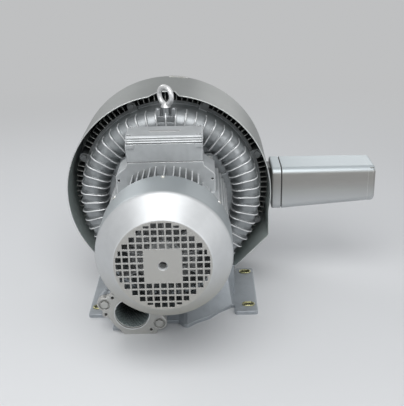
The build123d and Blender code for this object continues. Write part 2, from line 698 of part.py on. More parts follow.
def shield_bolts():
    """Bolts of the two end shields and of the motor flange."""
    small = hex_bolt(8.0, 28.0, 13.0, 5.3)
    large = hex_bolt(FLANGE_BOLT, FLANGE_THICK + WEB_THICK - 2, 17.0, 6.4)
    bolts = []
    for angle in flange_bolt_angles():
        x, z = polar(SHIELD_BOLT_R, angle)
        bolts.append(placed(small, (x, FRAME_FRONT - 8, AXIS_Z + z), (0, 1, 0)))
    for angle in flange_bolt_angles():
        x, z = polar(FLANGE_BOLT_R, angle)
        bolts.append(placed(large, (x, WEB_FRONT - FLANGE_THICK, AXIS_Z + z), (0, 1, 0)))
    return bolts


def race(sizes, y_front, outer_race):
    """One ring of a ball bearing with its ball groove."""
    bore, outer, width, ball, _ = sizes
    pitch_r = (bore + outer) / 4
    wall = (outer - bore) / 4 - ball * 0.28
    groove = turned(Pos(pitch_r, y_front + width / 2) * Circle(ball / 2 + 0.1))
    if outer_race:
        return ring(outer / 2 - wall, outer / 2, y_front, y_front + width) - groove
    return ring(bore / 2, bore / 2 + wall, y_front, y_front + width) - groove


def balls(sizes, y_front):
    """Balls of a bearing, spaced evenly by their cage."""
    bore, outer, width, ball, count = sizes
    one = Pos((bore + outer) / 4, y_front + width / 2, AXIS_Z) * Sphere(ball / 2)
    return round_the_shaft(one, count)


def cage(sizes, y_front):
    """Cage ring that carries the balls round."""
    bore, outer, width, ball, count = sizes
    pitch_r = (bore + outer) / 4
    middle = y_front + width / 2
    band = ring(pitch_r - 1.5, pitch_r + 1.5, middle - ball * 0.62, middle + ball * 0.62)
    pocket = Pos(pitch_r, middle, AXIS_Z) * Rot(0, 90, 0) * Cylinder(ball / 2 + 0.15, 20)
    return band - round_the_shaft(pocket, count)


def preload_spring():
    """Wave washer between the fan-side bearing and its shield."""
    _, outer, _, _, _ = FAN_BEARING
    return ring(outer / 2 - 7, outer / 2 - 0.5, FAN_BEARING_FRONT - SPRING_THICK + 0.1, FAN_BEARING_FRONT - 0.1)


def stator_core():
    """Stack of stator sheets, pressed into the frame."""
    slots = Sketch()
    for step in range(24):
        slots += Rot(0, 0, step * 15) * Pos(STATOR_BORE + 12, 0) * Rectangle(22, 7)
    section = Circle(FRAME_BORE - SEAT_GAP) - Circle(STATOR_BORE) - slots
    return across(section, STATOR_FRONT, STATOR_REAR)


def stator_windings():
    """End turns of the winding at both ends of the stack, joined through its slots."""
    front = ring(WINDING_R_IN, WINDING_R_OUT, STATOR_FRONT - WINDING_LENGTH, STATOR_FRONT - SEAT_GAP)
    rear = ring(WINDING_R_IN, WINDING_R_OUT, STATOR_REAR + SEAT_GAP, STATOR_REAR + WINDING_LENGTH)
    front = fillet(front.edges().group_by(Axis.Y)[0], 6)
    rear = fillet(rear.edges().group_by(Axis.Y)[-1], 6)
    bars = []
    for step in range(24):
        bar = Rot(0, 0, step * 15) * Pos(STATOR_BORE + 13, 0) * Rectangle(15, 6.4)
        bars.append(across(bar, STATOR_FRONT - 1, STATOR_REAR + 1))
    return front + [rear, *bars]


def rotor_core():
    """Stack of rotor sheets on the shaft."""
    bars = Sketch()
    for step in range(20):
        bars += Rot(0, 0, step * 18) * Pos(STATOR_BORE - 12, 0) * Circle(4)
    section = Circle(STATOR_BORE - AIR_GAP) - Circle(ROTOR_SHAFT_R + SEAT_GAP) - bars
    return across(section, STATOR_FRONT, STATOR_REAR)


def rotor_cage():
    """Cast conductor bars and end rings of the rotor."""
    radius = STATOR_BORE - 12
    body = ring(radius - 14, radius + 8, STATOR_FRONT - CAGE_RING_LENGTH, STATOR_FRONT - SEAT_GAP)
    body += ring(radius - 14, radius + 8, STATOR_REAR + SEAT_GAP, STATOR_REAR + CAGE_RING_LENGTH)
    bar = disc(4 - SEAT_GAP, STATOR_FRONT - 1, STATOR_REAR + 1)
    return body + round_the_shaft(Pos(radius, 0, 0) * bar, 20)


def motor_shaft():
    """Stepped shaft that carries the fan, the rotor and both impellers."""
    drive_front, drive_bore = DRIVE_BEARING_FRONT, DRIVE_BEARING[0]
    fan_back = FAN_BEARING_FRONT + FAN_BEARING[2]
    body = disc(FAN_JOURNAL / 2, SHAFT_FRONT, FAN_BEARING_FRONT)
    body += disc(FAN_BEARING[0] / 2 - RUN_GAP, FAN_BEARING_FRONT - 1, fan_back)
    body += disc(ROTOR_SHAFT_R, fan_back, drive_front)
    body += disc(drive_bore / 2 - RUN_GAP, drive_front, FRONT_IMPELLER_Y - 6)
    body += disc(IMPELLER_BORE / 2, FRONT_IMPELLER_Y - 6, SHAFT_REAR)
    body -= key_block(FRONT_IMPELLER_Y, SHAFT_REAR + 1, THREAD_GAP)
    thread = Pos(0, SHAFT_REAR - 20, AXIS_Z) * Rot(90, 0, 0) * Cylinder(8 + THREAD_GAP, 40)
    groove = ring(FAN_JOURNAL / 2 - 1.5, FAN_JOURNAL, SHAFT_FRONT + 5, SHAFT_FRONT + 7)
    return body - [thread, groove]


SHAFT_REAR = REAR_IMPELLER_Y + IMPELLER_WIDTH - 2


def impeller_spacer():
    """Sleeve between the two impellers, with a way for the key."""
    sleeve = ring(IMPELLER_BORE / 2 + RUN_GAP, SPACER_R, FRONT_IMPELLER_Y + IMPELLER_WIDTH, REAR_IMPELLER_Y)
    return sleeve - key_block(FRONT_IMPELLER_Y, REAR_IMPELLER_Y + 1, THREAD_GAP)


def front_spacer():
    """Sleeve between the drive bearing and the first impeller, on which the shaft seal runs."""
    back = DRIVE_BEARING_FRONT + DRIVE_BEARING[2]
    return ring(DRIVE_BEARING[0] / 2 + 0.01, SPACER_R, back, FRONT_IMPELLER_Y)


def shaft_seal(y_front, inner):
    """Rubber ring that seals the shaft where it passes a wall."""
    return ring(inner + 0.3, SHAFT_HOLE - SEAT_GAP, y_front, y_front + 8)


def end_washer():
    """Thick washer that clamps the impellers on the shaft end."""
    y_back = REAR_IMPELLER_Y + IMPELLER_WIDTH
    return ring(8 + BOLT_GAP, IMPELLER_HUB_R - 8, y_back, y_back + 5)


def end_bolt():
    """Bolt in the end of the shaft."""
    bolt = hex_bolt(16.0, 40.0, 24.0, 10.0)
    return placed(bolt, (0, REAR_IMPELLER_Y + IMPELLER_WIDTH + 5, AXIS_Z), (0, -1, 0))


def cooling_fan():
    """Moulded fan with straight blades behind its front disc."""
    hub = disc(FAN_HUB_R, FAN_FRONT, FAN_REAR) + disc(FAN_DISC_R, FAN_FRONT, FAN_FRONT + FAN_DISC)
    hub = fillet(hub.edges().group_by(Axis.Y)[0], 2)
    middle = (FAN_FRONT + FAN_REAR) / 2
    hub += disc(FAN_R * 0.62, middle, middle + FAN_DISC)
    blade = polygon((FAN_HUB_R - 2, FAN_FRONT + FAN_DISC), (FAN_DISC_R, FAN_FRONT + 2), (FAN_R - 14, FAN_FRONT + 9),
                    (FAN_R, FAN_FRONT + 18), (FAN_R, FAN_REAR - 6), (FAN_HUB_R - 2, FAN_REAR))
    blade = extrude(Plane.XY.offset(AXIS_Z) * blade, FAN_BLADE / 2, both=True)
    hub += round_the_shaft(blade, FAN_BLADES, 90)
    hub -= disc(FAN_JOURNAL / 2 + THREAD_GAP, SHAFT_FRONT - 1, FAN_REAR + 1)
    return hub - disc(FAN_JOURNAL / 2 + 5, FAN_FRONT - 1, SHAFT_FRONT + 7)


def fan_circlip():
    """Ring in the shaft groove that keeps the fan on."""
    clip = ring(FAN_JOURNAL / 2 - 1.4, FAN_JOURNAL / 2 + 3.5, SHAFT_FRONT + 5.1, SHAFT_FRONT + 6.9)
    return clip - block((-3, 3), (SHAFT_FRONT, SHAFT_FRONT + 10), (AXIS_Z, AXIS_Z + FAN_JOURNAL))


def cowl_line(inset):
    """Half section of the cowl's skin, drawn as (radius, y), shifted inwards by a wall."""
    outer = [(COWL_R, COWL_REAR), (COWL_R, COWL_SHOULDER), (COWL_FACE_R, COWL_FACE), (0, COWL_FACE)]
    lean = inset * (sqrt(2) - 1)
    inner = [(COWL_R - inset, COWL_REAR + 1), (COWL_R - inset, COWL_SHOULDER + lean),
             (COWL_FACE_R - lean, COWL_FACE + inset), (0, COWL_FACE + inset)]
    return outer if inset == 0 else inner


def cowl_solid(inset):
    """Body bounded by one side of the cowl's skin, with its two bends rounded."""
    points = cowl_line(inset)
    body = turned(polygon(*points, (0, points[0][1])))
    bends = [edge for edge in body.edges().filter_by(GeomType.CIRCLE)]
    shoulder = [edge for edge in bends if abs(edge.radius - points[1][0]) < 0.1 and edge.center().Y < COWL_REAR - 5]
    body = fillet(shoulder, COWL_SHOULDER_ROUND - inset)
    face = [edge for edge in body.edges().filter_by(GeomType.CIRCLE) if abs(edge.center().Y - points[2][1]) < 0.1]
    return fillet(face, COWL_FACE_ROUND - inset)


def grille_holes():
    """Square grille holes, cut off at the grille's edge and left out round its middle."""
    half = (GRILLE_CELLS - 1) // 2
    blank = (GRILLE_BLANK_CELLS - 1) // 2
    holes = Sketch()
    for column in range(-half, half + 1):
        for row in range(-half, half + 1):
            x, z = column * GRILLE_PITCH, row * GRILLE_PITCH
            reach = hypot(column, row)
            if max(abs(column), abs(row)) <= blank or reach > half + GRILLE_HALF_HOLES:
                continue
            cut_x, cut_z = (GRILLE_TRIM if reach > half + GRILLE_WHOLE_HOLES and abs(place) == half else 0
                            for place in (column, row))
            hole = Rectangle(GRILLE_HOLE - cut_x, GRILLE_HOLE - cut_z)
            holes += Pos(x - copysign(cut_x / 2, x), z - copysign(cut_z / 2, z)) * hole
    return holes


def fan_cowl():
    """Drawn sheet cowl over the fan, with its grille and the dished hole in the middle."""
    body = cowl_solid(0) - cowl_solid(COWL_SHEET)
    dish = Pos(0, COWL_FACE + COWL_SHEET + 1, AXIS_Z) * Rot(90, 0, 0)
    body += dish * Cone(GRILLE_EYE_R + 1, GRILLE_DISH_R + 1, 2 * COWL_SHEET)
    body -= dish * Cone(GRILLE_EYE_R - 1, GRILLE_DISH_R, 2 * COWL_SHEET + 2.5)
    body -= across(grille_holes(), COWL_FACE - 1, COWL_FACE + COWL_SHEET + 1)
    for angle in COWL_SCREW_ANGLES:
        hole = Pos(COWL_R, COWL_REAR - 10, AXIS_Z) * Rot(0, 90, 0) * Cylinder(2.5 + BOLT_GAP, 12)
        body -= about(hole, angle)
    return body


def cowl_screws():
    """Screws through the cowl's rear rim into the frame."""
    screw = placed(pan_screw(5.0, 12.0), (COWL_R, COWL_REAR - 10, AXIS_Z), (-1, 0, 0))
    return [about(screw, angle) for angle in COWL_SCREW_ANGLES]


def terminal_box():
    """Terminal box with its corner lugs, a cable entry in each end and holes for its screws."""
    low = AXIS_Z + BOX_SEAT + BOX_SEAL
    high = AXIS_Z + BOX_SEAT + BOX_HEIGHT
    outer = block((-BOX_HALF_WIDTH, BOX_HALF_WIDTH), (BOX_FRONT, BOX_REAR), (low, high))
    outer = fillet(outer.edges().filter_by(Axis.Z), 5)
    inner = block((BOX_WALL - BOX_HALF_WIDTH, BOX_HALF_WIDTH - BOX_WALL), (BOX_FRONT + BOX_WALL, BOX_REAR - BOX_WALL),
                  (low + BOX_WALL, high + 1))
    body = outer - fillet(inner.edges().filter_by(Axis.Z), 3)
    for x, y in lid_screw_places():
        column = Pos(x, y, (low + BOX_WALL + high) / 2) * Cylinder(6, high - low - BOX_WALL)
        body += column & outer
    for side in (-1, 1):
        for face, reach in ((BOX_FRONT, -LUG_REACH), (BOX_REAR, LUG_REACH)):
            x_range = sorted((side * (BOX_HALF_WIDTH - 1), side * (BOX_HALF_WIDTH - 1 - LUG_WIDTH)))
            body += block(x_range, sorted((face - reach, face + reach)), (high - LUG_DROP, high))
    body -= [Pos(x, y, high - 10) * Cylinder(2.5 + THREAD_GAP, 22) for x, y in lid_screw_places()]
    body -= [Pos(x, y, low) * Cylinder(2.5 + BOLT_GAP, 3 * BOX_WALL) for x, y in box_screw_places()]
    body -= Pos(0, (BOX_FRONT + BOX_REAR) / 2, low) * Cylinder(18, 3 * BOX_WALL)
    boss = Pos(BOX_HALF_WIDTH, (BOX_FRONT + BOX_REAR) / 2, (low + high) / 2 + 1) * Rot(0, 90, 0)
    entry = boss * Cylinder(CABLE_HOLE / 2 + THREAD_GAP, 30)
    return body - [entry, mirror(entry, Plane.YZ)]


def lid_screw_places():
    """Places of the lid's four corner screws."""
    inset = 8.0
    return [(side * (BOX_HALF_WIDTH - inset), y) for side in (-1, 1) for y in (BOX_FRONT + inset, BOX_REAR - inset)]


def box_plate_seal(z_low):
    """Flat seal with the outline of the terminal box's walls."""
    outer = Rectangle(2 * BOX_HALF_WIDTH - 2, BOX_REAR - BOX_FRONT - 2)
    inner = Rectangle(2 * (BOX_HALF_WIDTH - BOX_WALL) - 24, BOX_REAR - BOX_FRONT - 2 * BOX_WALL - 20)
    sheet = extrude(Pos(0, (BOX_FRONT + BOX_REAR) / 2, z_low) * (outer - inner), BOX_SEAL)
    screws = box_screw_places() if z_low < AXIS_Z + BOX_SEAT + 1 else lid_screw_places()
    return sheet - [Pos(x, y, z_low) * Cylinder(3.2, 8) for x, y in screws]


def terminal_lid():
    """Lid with ridges round its rim, screw pockets at its corners and a bare place for a plate."""
    low = AXIS_Z + BOX_SEAT + BOX_HEIGHT + BOX_SEAL
    high = AXIS_Z + BOX_SEAT + BOX_HEIGHT + LID_HEIGHT
    body = block((-BOX_HALF_WIDTH, BOX_HALF_WIDTH), (BOX_FRONT, BOX_REAR), (low, high))
    body = fillet(body.edges().filter_by(Axis.Z), 5)
    body = fillet(body.edges().group_by(Axis.Z)[-1], 2.5)
    pitch = (high - low) / 3.4
    for step in (1, 2):
        z = low + step * pitch
        groove = block((-BOX_HALF_WIDTH - 1, BOX_HALF_WIDTH + 1), (BOX_FRONT - 1, BOX_REAR + 1), (z - 1.2, z + 1.2))
        keep_in = block((2.2 - BOX_HALF_WIDTH, BOX_HALF_WIDTH - 2.2), (BOX_FRONT + 2.2, BOX_REAR - 2.2),
                        (z - 2, z + 2))
        body -= groove - fillet(keep_in.edges().filter_by(Axis.Z), 3)
    wall = LID_WALL
    hollow = block((wall - BOX_HALF_WIDTH, BOX_HALF_WIDTH - wall), (BOX_FRONT + wall, BOX_REAR - wall),
                   (low - 1, high - wall))
    columns = [Pos(x, y, (low + high - wall) / 2) * Cylinder(6, high - low - wall) for x, y in lid_screw_places()]
    body = body - hollow + columns
    for x, y in lid_screw_places():
        body -= Pos(x, y, low) * Cylinder(2.5 + BOLT_GAP, 60)
        body -= Pos(x, y, high - 3) * Cylinder(5.4, 6.01)
    recess = extrude(Pos(0, PLATE_Y, high - 0.6) * RectangleRounded(PLATE_SIZE[0] + 1, PLATE_SIZE[1] + 1, 3), 2)
    return body - recess


PLATE_Y = (BOX_FRONT + BOX_REAR) / 2


def lid_screws():
    """Screws of the lid, sunk in their pockets."""
    top = AXIS_Z + BOX_SEAT + BOX_HEIGHT + LID_HEIGHT - 6
    return [placed(pan_screw(5.0, 26.0), (x, y, top), (0, 0, -1)) for x, y in lid_screw_places()]


def box_screws():
    """Screws that hold the terminal box to its seat."""
    top = AXIS_Z + BOX_SEAT + BOX_SEAL + BOX_WALL
    return [placed(pan_screw(5.0, 20.0), (x, y, top), (0, 0, -1)) for x, y in box_screw_places()]


def blank_plate():
    """Plain plate in the recess of the lid."""
    top = AXIS_Z + BOX_SEAT + BOX_HEIGHT + LID_HEIGHT
    return extrude(Pos(0, PLATE_Y, top - 0.6) * RectangleRounded(*PLATE_SIZE, 3), 0.9)


def terminal_block():
    """Moulded block with six terminals in two rows."""
    floor = AXIS_Z + BOX_SEAT + BOX_SEAL + BOX_WALL
    y = (BOX_FRONT + BOX_REAR) / 2
    body = block((20, 72), (y - 15, y + 15), (floor, floor + 10))
    for step in (-1, 0, 1):
        body += block((46 + step * 17 - 9.4, 46 + step * 17 - 7.6), (y - 15, y + 15), (floor + 9, floor + 18))
    return body - [Pos(x, sy, floor + 7) * Cylinder(2.5 + THREAD_GAP, 8) for x, sy in stud_places()]


def stud_places():
    """Places of the terminal studs."""
    y = (BOX_FRONT + BOX_REAR) / 2
    return [(46 + step * 17, y + side * 9) for step in (-1, 0, 1) for side in (-1, 1)]


def terminal_studs():
    """Brass studs with their nuts."""
    floor = AXIS_Z + BOX_SEAT + BOX_SEAL + BOX_WALL
    stud = Pos(0, 0, 10) * Cylinder(2.5, 14) + extrude(Pos(0, 0, 10.01) * RegularPolygon(4.6, 6), 4)
    return [Pos(x, y, floor) * stud for x, y in stud_places()]


def entry_plug():
    """Plug that closes the cable entry on the -X end of the box."""
    z = AXIS_Z + BOX_SEAT + (BOX_SEAL + BOX_HEIGHT) / 2 + 1
    shank = Cylinder(CABLE_HOLE / 2, BOX_WALL + 2, align=(Align.CENTER, Align.CENTER, Align.MIN))
    head = Cylinder(CABLE_HOLE / 2 + 4, 4, align=(Align.CENTER, Align.CENTER, Align.MAX))
    head = fillet(head.edges().sort_by(Axis.Z)[0], 1.5)
    slot = Pos(0, 0, -4) * Box(CABLE_HOLE * 0.7, 3, 3)
    return placed(shank + head - slot, (-BOX_HALF_WIDTH, (BOX_FRONT + BOX_REAR) / 2, z), (1, 0, 0))


FOOT_X = FOOT_SPACING_X / 2 + FOOT_SIDE_MARGIN
FOOT_IN_X = FOOT_X - FOOT_WIDTH
FOOT_FRONT = -FOOT_SPACING_Y / 2 - FOOT_FRONT_MARGIN
FOOT_REAR = FOOT_SPACING_Y / 2 + FOOT_REAR_MARGIN
APRON_EDGE = ((150.0, -87.0), (116.0, -113.0), (92.0, -140.0), (60.0, -159.0),
              (37.0, -179.0), (28.0, -176.0), (15.0, -158.0), (-2.0, -157.0))
APRON_TOP = 70.0
APRON_LEAN = 0.93
PEDESTAL_X = 158.0
PEDESTAL_FRONT = -36.0
CHAMBER_TOP = 46.0
CHAMBER_REAR = 28.0
HOLLOW_TOP = 36.0
DUCT_REAR = -44.0
FLANGE_BACK = INLET_FACE + INLET_FLANGE
DUCT_FRONT = FLANGE_BACK + GASKET
INLET_BOLT_DEPTH = 34.0
TAB_DROP = 15.0


def plate_outline():
    """Outline of the base plate: both feet, the apron's edge and the part under the duct."""
    duct_left, duct_right = INLET_X - DUCT_BORE - DUCT_WALL, INLET_X + DUCT_BORE + DUCT_WALL
    right = [(FOOT_IN_X, FOOT_FRONT), (FOOT_X, FOOT_FRONT), (FOOT_X, FOOT_REAR)]
    left = [(-FOOT_X, FOOT_REAR), (-FOOT_X, FOOT_FRONT), (-FOOT_IN_X, FOOT_FRONT), (-FOOT_IN_X, FOOT_FRONT + 36)]
    duct = [(duct_left, FOOT_FRONT + 20), (duct_left, DUCT_FRONT), (duct_right, DUCT_FRONT), (duct_right, -157.0)]
    return polygon(*right, *left, *duct, *reversed(APRON_EDGE), (FOOT_IN_X, FOOT_FRONT + 36))


def apron():
    """Sloping skirt from the front edge of the base up to the casing."""
    low = [(FOOT_IN_X - 2, PEDESTAL_FRONT + 2), *[(x, y + 2) for x, y in APRON_EDGE], (-40.0, -150.0),
           (-40.0, PEDESTAL_FRONT + 2)]
    high = [(x * APRON_LEAN, PEDESTAL_FRONT + min(2.0, (y - PEDESTAL_FRONT) * 0.07)) for x, y in low]
    bottom = Pos(0, 0, FOOT_THICK - 1) * polygon(*low)
    top = Pos(0, 0, APRON_TOP) * polygon(*high)
    return loft([bottom, top], ruled=True)


def inlet_outline():
    """Outline of the inlet flange as (x, height above the ground): flat at the bottom, a lug at each bolt."""
    middle = polygon((-172.0, 74.0), (-116.0, 0.0), (-38.0, 0.0), (-36.0, 9.0), (-16.0, 22.0), (-18.0, 46.0),
                     (-34.0, 66.0), (-62.0, 106.0), (-122.0, 114.0), (-152.0, 104.0))
    lugs = [Pos(x, z) * Circle(POCKET_R + 4) for x, z in inlet_bolt_places()]
    lugs += [Pos(x, z) * Circle(PORT_THREAD / 2 + 5) for x, z in port_hole_places()]
    return middle + lugs + Pos(INLET_X, INLET_Z) * Circle(INLET_R + 12)


def inlet_bolt_places():
    """Places of the two bolts of the inlet flange."""
    turn = radians(INLET_TURN)
    return [(INLET_X + side * INLET_BOLT_OUT * cos(turn), INLET_Z + side * INLET_BOLT_OUT * sin(turn))
            for side in (-1, 1)]


def port_hole_places():
    """Places of the four threaded holes of the inlet flange."""
    turn = radians(INLET_TURN)
    places = []
    for side_x in (-1, 1):
        for side_z in (-1, 1):
            u, v = side_x * PORT_HOLES[0] / 2, side_z * PORT_HOLES[1] / 2
            places.append((INLET_X + u * cos(turn) - v * sin(turn), INLET_Z + u * sin(turn) + v * cos(turn)))
    return places


def bar(radius, x, z, y_front, y_back):
    """Round bar along Y at a height above the ground."""
    return across(Pos(x, z) * Circle(radius), y_front, y_back, 0)


def foot_slots():
    """The four slots in the feet."""
    slot = extrude(Pos(0, 0, -1) * SlotOverall(SLOT_LENGTH, SLOT_WIDTH), FOOT_THICK + 2)
    return [Pos(sx * FOOT_SPACING_X / 2, sy * FOOT_SPACING_Y / 2, 0) * slot for sx in (-1, 1) for sy in (-1, 1)]


def base_foot():
    """Cast base: feet, sloping apron, inlet duct and the cradle that the casings sit in."""
    plate = extrude(plate_outline(), FOOT_THICK)
    ends = (FOOT_FRONT, FOOT_REAR)
    corners = [edge for edge in plate.edges().filter_by(Axis.Z) if min(abs(edge.center().Y - y) for y in ends) < 1]
    plate = fillet(corners, 7)
    plate = fillet(plate.edges().group_by(Axis.Z)[-1], 3)
    pedestal = block((-PEDESTAL_X, PEDESTAL_X), (PEDESTAL_FRONT, FOOT_REAR - 4), (FOOT_THICK - 4, PEDESTAL_TOP))
    body = plate + [pedestal, apron()]
    body += bar(DUCT_BORE + DUCT_WALL, INLET_X, INLET_Z, DUCT_FRONT, PEDESTAL_FRONT)
    duct_foot = block((INLET_X - DUCT_BORE, INLET_X + DUCT_BORE), (DUCT_FRONT, PEDESTAL_FRONT), (0, INLET_Z / 2))
    body += [duct_foot, across(inlet_outline(), DUCT_FRONT, DUCT_FRONT + 12, 0)]
    for x, z in inlet_bolt_places():
        body += bar(POCKET_R, x, z, DUCT_FRONT, DUCT_FRONT + INLET_BOLT_DEPTH)
    step_y = FRONT_JOINT_Y - LUG_THICK - 8
    body -= disc(TORUS_OUT + CRADLE_GAP, PEDESTAL_FRONT, step_y + 1)
    body -= disc(LUG_R + LUG_RADIUS + 1, step_y, FOOT_REAR + 1)
    body -= [Pos(x, y, z + 40) * Cylinder(PAD_R + 2, 80) for x, y, z in (*FRONT_PADS, *MIDDLE_PADS)]
    body -= neck_seat(NECK_BOTTOM - GASKET, AXIS_Z)
    body -= bar(DUCT_BORE, INLET_X, INLET_Z, DUCT_FRONT - 1, DUCT_REAR)
    half = NECK_SIZE[0] / 2 + 6
    body -= block((INLET_X - half, INLET_X + half), (DUCT_REAR - 6, CHAMBER_REAR), (BASE_WALL + 4, CHAMBER_TOP))
    body -= neck_passage(CHAMBER_TOP - 1, NECK_BOTTOM)
    body -= base_hollows()
    for x, z in inlet_bolt_places():
        body -= bar(INLET_BOLT / 2 + THREAD_GAP, x, z, DUCT_FRONT - 1, DUCT_FRONT + INLET_BOLT_DEPTH - 4)
    body -= [Pos(x, y, z / 2) * Cylinder(BASE_BOLT / 2 + BOLT_GAP, z + 2) for x, y, z in (*FRONT_PADS, *MIDDLE_PADS)]
    for side in (-1, 1):
        for y in TAB_SCREW_Y:
            hole = Rot(0, 90, 0) * Cylinder(2.5 + THREAD_GAP, 24)
            body -= Pos(side * PEDESTAL_X, y, TAB_SCREW_Z) * hole
    return body - foot_slots()


TAB_SCREW_Y = (30.0, 90.0)
TAB_SCREW_Z = AXIS_Z + SHROUD_FOOT_Z - TAB_DROP / 2


def neck_seat(z_low, z_high):
    """Clear space over the base's seat for the casing's air neck."""
    half_x, half_y = NECK_SIZE[0] / 2 + 1.5, NECK_SIZE[1] / 2 + 1.5
    return block((INLET_X - half_x, INLET_X + half_x), (NECK_Y - half_y, NECK_Y + half_y), (z_low, z_high))


def base_hollows():
    """Pockets under the base, open downwards."""
    right = block((-34, PEDESTAL_X - 16), (PEDESTAL_FRONT + 8, FOOT_REAR - 12), (-1, HOLLOW_TOP))
    left = block((16 - PEDESTAL_X, -50), (CHAMBER_REAR + BASE_WALL, FOOT_REAR - 12), (-1, HOLLOW_TOP))
    front = block((6, 80), (-118, PEDESTAL_FRONT - BASE_WALL + 8), (-1, 20))
    return [right, left, front]


def base_bolts():
    """Bolts from the pockets of the base up into the casings."""
    bolts = []
    for x, y, z in (*FRONT_PADS, *MIDDLE_PADS):
        bolt = hex_bolt(BASE_BOLT, z - HOLLOW_TOP + BASE_THREAD_DEPTH - 2, 17.0, 6.4)
        bolts.append(placed(bolt, (x, y, HOLLOW_TOP), (0, 0, 1)))
    return bolts


def inlet_flange():
    """Flange at the mouth of the inlet with sunk bolt seats and four threaded holes."""
    body = across(inlet_outline(), INLET_FACE, FLANGE_BACK, 0)
    body = chamfer(body.edges().group_by(Axis.Y)[0], 1.2)
    mouth = bar(INLET_R, INLET_X, INLET_Z, INLET_FACE - 1, FLANGE_BACK + 1)
    seat = bar(INLET_R + LINER_SHEET + SEAT_GAP, INLET_X, INLET_Z, LINER_FRONT, FLANGE_BACK + 1)
    body -= [mouth, seat]
    for x, z in inlet_bolt_places():
        body -= bar(POCKET_R, x, z, INLET_FACE - 1, INLET_FACE + POCKET_DEPTH)
        body -= bar(INLET_BOLT / 2 + BOLT_GAP, x, z, INLET_FACE, FLANGE_BACK + 1)
    for x, z in port_hole_places():
        body -= bar(PORT_THREAD / 2, x, z, INLET_FACE - 1, FLANGE_BACK + 1)
    return body


LINER_FRONT = INLET_FACE + 8.0


def inlet_gasket():
    """Gasket between the inlet flange and the duct."""
    body = across(inlet_outline(), FLANGE_BACK, DUCT_FRONT, 0) - bar(DUCT_BORE, INLET_X, INLET_Z, -300, 0)
    for x, z in inlet_bolt_places():
        body -= bar(INLET_BOLT / 2 + BOLT_GAP, x, z, -300, 0)
    return body


def inlet_bolts():
    """Bolts of the inlet flange, with their heads in the sunk seats."""
    length = INLET_FLANGE - POCKET_DEPTH + GASKET + INLET_BOLT_DEPTH - 6
    bolt = hex_bolt(INLET_BOLT, length, 17.0, 6.4)
    return [placed(bolt, (x, INLET_FACE + POCKET_DEPTH, z), (0, 1, 0)) for x, z in inlet_bolt_places()]


def perforated_tube(radius, length, hole, rows, around):
    """Thin tube along Z from z = 0 with rows of round holes."""
    body = Pos(0, 0, length / 2) * (Cylinder(radius + LINER_SHEET, length) - Cylinder(radius, length))
    pitch = length / (rows + 1)
    holes = []
    for row in range(rows):
        for step in range(around):
            turn = (step + 0.5 * (row % 2)) * 360 / around
            punch = Pos(radius, 0, 0) * Rot(0, 90, 0) * Cylinder(hole / 2, 4 * LINER_SHEET)
            holes.append(Pos(0, 0, (row + 1) * pitch) * Rot(0, 0, turn) * punch)
    return body - holes


def inlet_liner():
    """Perforated liner of the inlet duct."""
    tube = perforated_tube(INLET_R, LINER_BACK - LINER_FRONT, LINER_HOLE, LINER_ROWS, LINER_HOLES_ROUND)
    return placed(tube, (INLET_X, LINER_FRONT, INLET_Z), (0, 1, 0))


def inlet_foam():
    """Sound absorbing sleeve between the liner and the duct."""
    sleeve = bar(DUCT_BORE - SEAT_GAP, INLET_X, INLET_Z, DUCT_FRONT, LINER_BACK)
    return sleeve - bar(INLET_R + LINER_SHEET + SEAT_GAP, INLET_X, INLET_Z, DUCT_FRONT - 1, LINER_BACK + 1)


def neck_gasket():
    """Gasket between the base and the air neck of the front casing."""
    return neck_block(NECK_BOTTOM - GASKET, NECK_BOTTOM) - neck_passage(NECK_BOTTOM - 3, NECK_BOTTOM + 1)


def eye_bolt():
    """Lifting eye bolt with its collar and turned ring."""
    seat = AXIS_Z + EYE_BOSS_TOP
    middle = seat + EYE_RING_R + EYE_RING_THICK
    loop = Pos(0, 0, middle) * Rot(0, 0, -EYE_TURN) * Rot(90, 0, 0) * Torus(EYE_RING_R, EYE_RING_THICK)
    collar = Pos(0, 0, seat + 5) * Cone(EYE_BOSS_R + 1.5, EYE_RING_THICK + 2, 10)
    shank = Pos(0, 0, seat - 8) * Cylinder(EYE_BOLT / 2, 18)
    return Pos(EYE_X, EYE_Y, 0) * (loop + collar + shank)


def shroud_area(inset, drop):
    """Area inside the shroud's sheet, drawn round the shaft, with its bulge beside the base."""
    radius = SHROUD_R - inset
    foot_x = SHROUD_FOOT_X - inset
    side_x = SHROUD_X + sqrt(SHROUD_R ** 2 - SHROUD_BULGE_TOP_Z ** 2)
    turn = pi / 2 - acos((side_x - SHROUD_FOOT_X) / hypot(side_x - SHROUD_FOOT_X, SHROUD_FOOT_Z - SHROUD_BULGE_Z))
    rise = inset * sin(turn) / (1 + cos(turn))
    side_x -= inset
    left_z = -sqrt(radius ** 2 - (foot_x + SHROUD_X) ** 2)
    right_z = -sqrt(radius ** 2 - (side_x - SHROUD_X) ** 2)
    bow = ThreePointArc((-foot_x, left_z), (SHROUD_X, radius), (side_x, right_z))
    sides = Polyline((side_x, right_z), (side_x, SHROUD_BULGE_Z + rise), (foot_x, SHROUD_FOOT_Z + rise),
                     (foot_x, SHROUD_FOOT_Z - TAB_DROP - drop), (-foot_x, SHROUD_FOOT_Z - TAB_DROP - drop),
                     (-foot_x, left_z))
    section = area(bow, sides)
    corner = section.vertices().sort_by_distance((side_x, SHROUD_BULGE_Z + rise))[0]
    return fillet(corner, SHROUD_CORNER - inset)


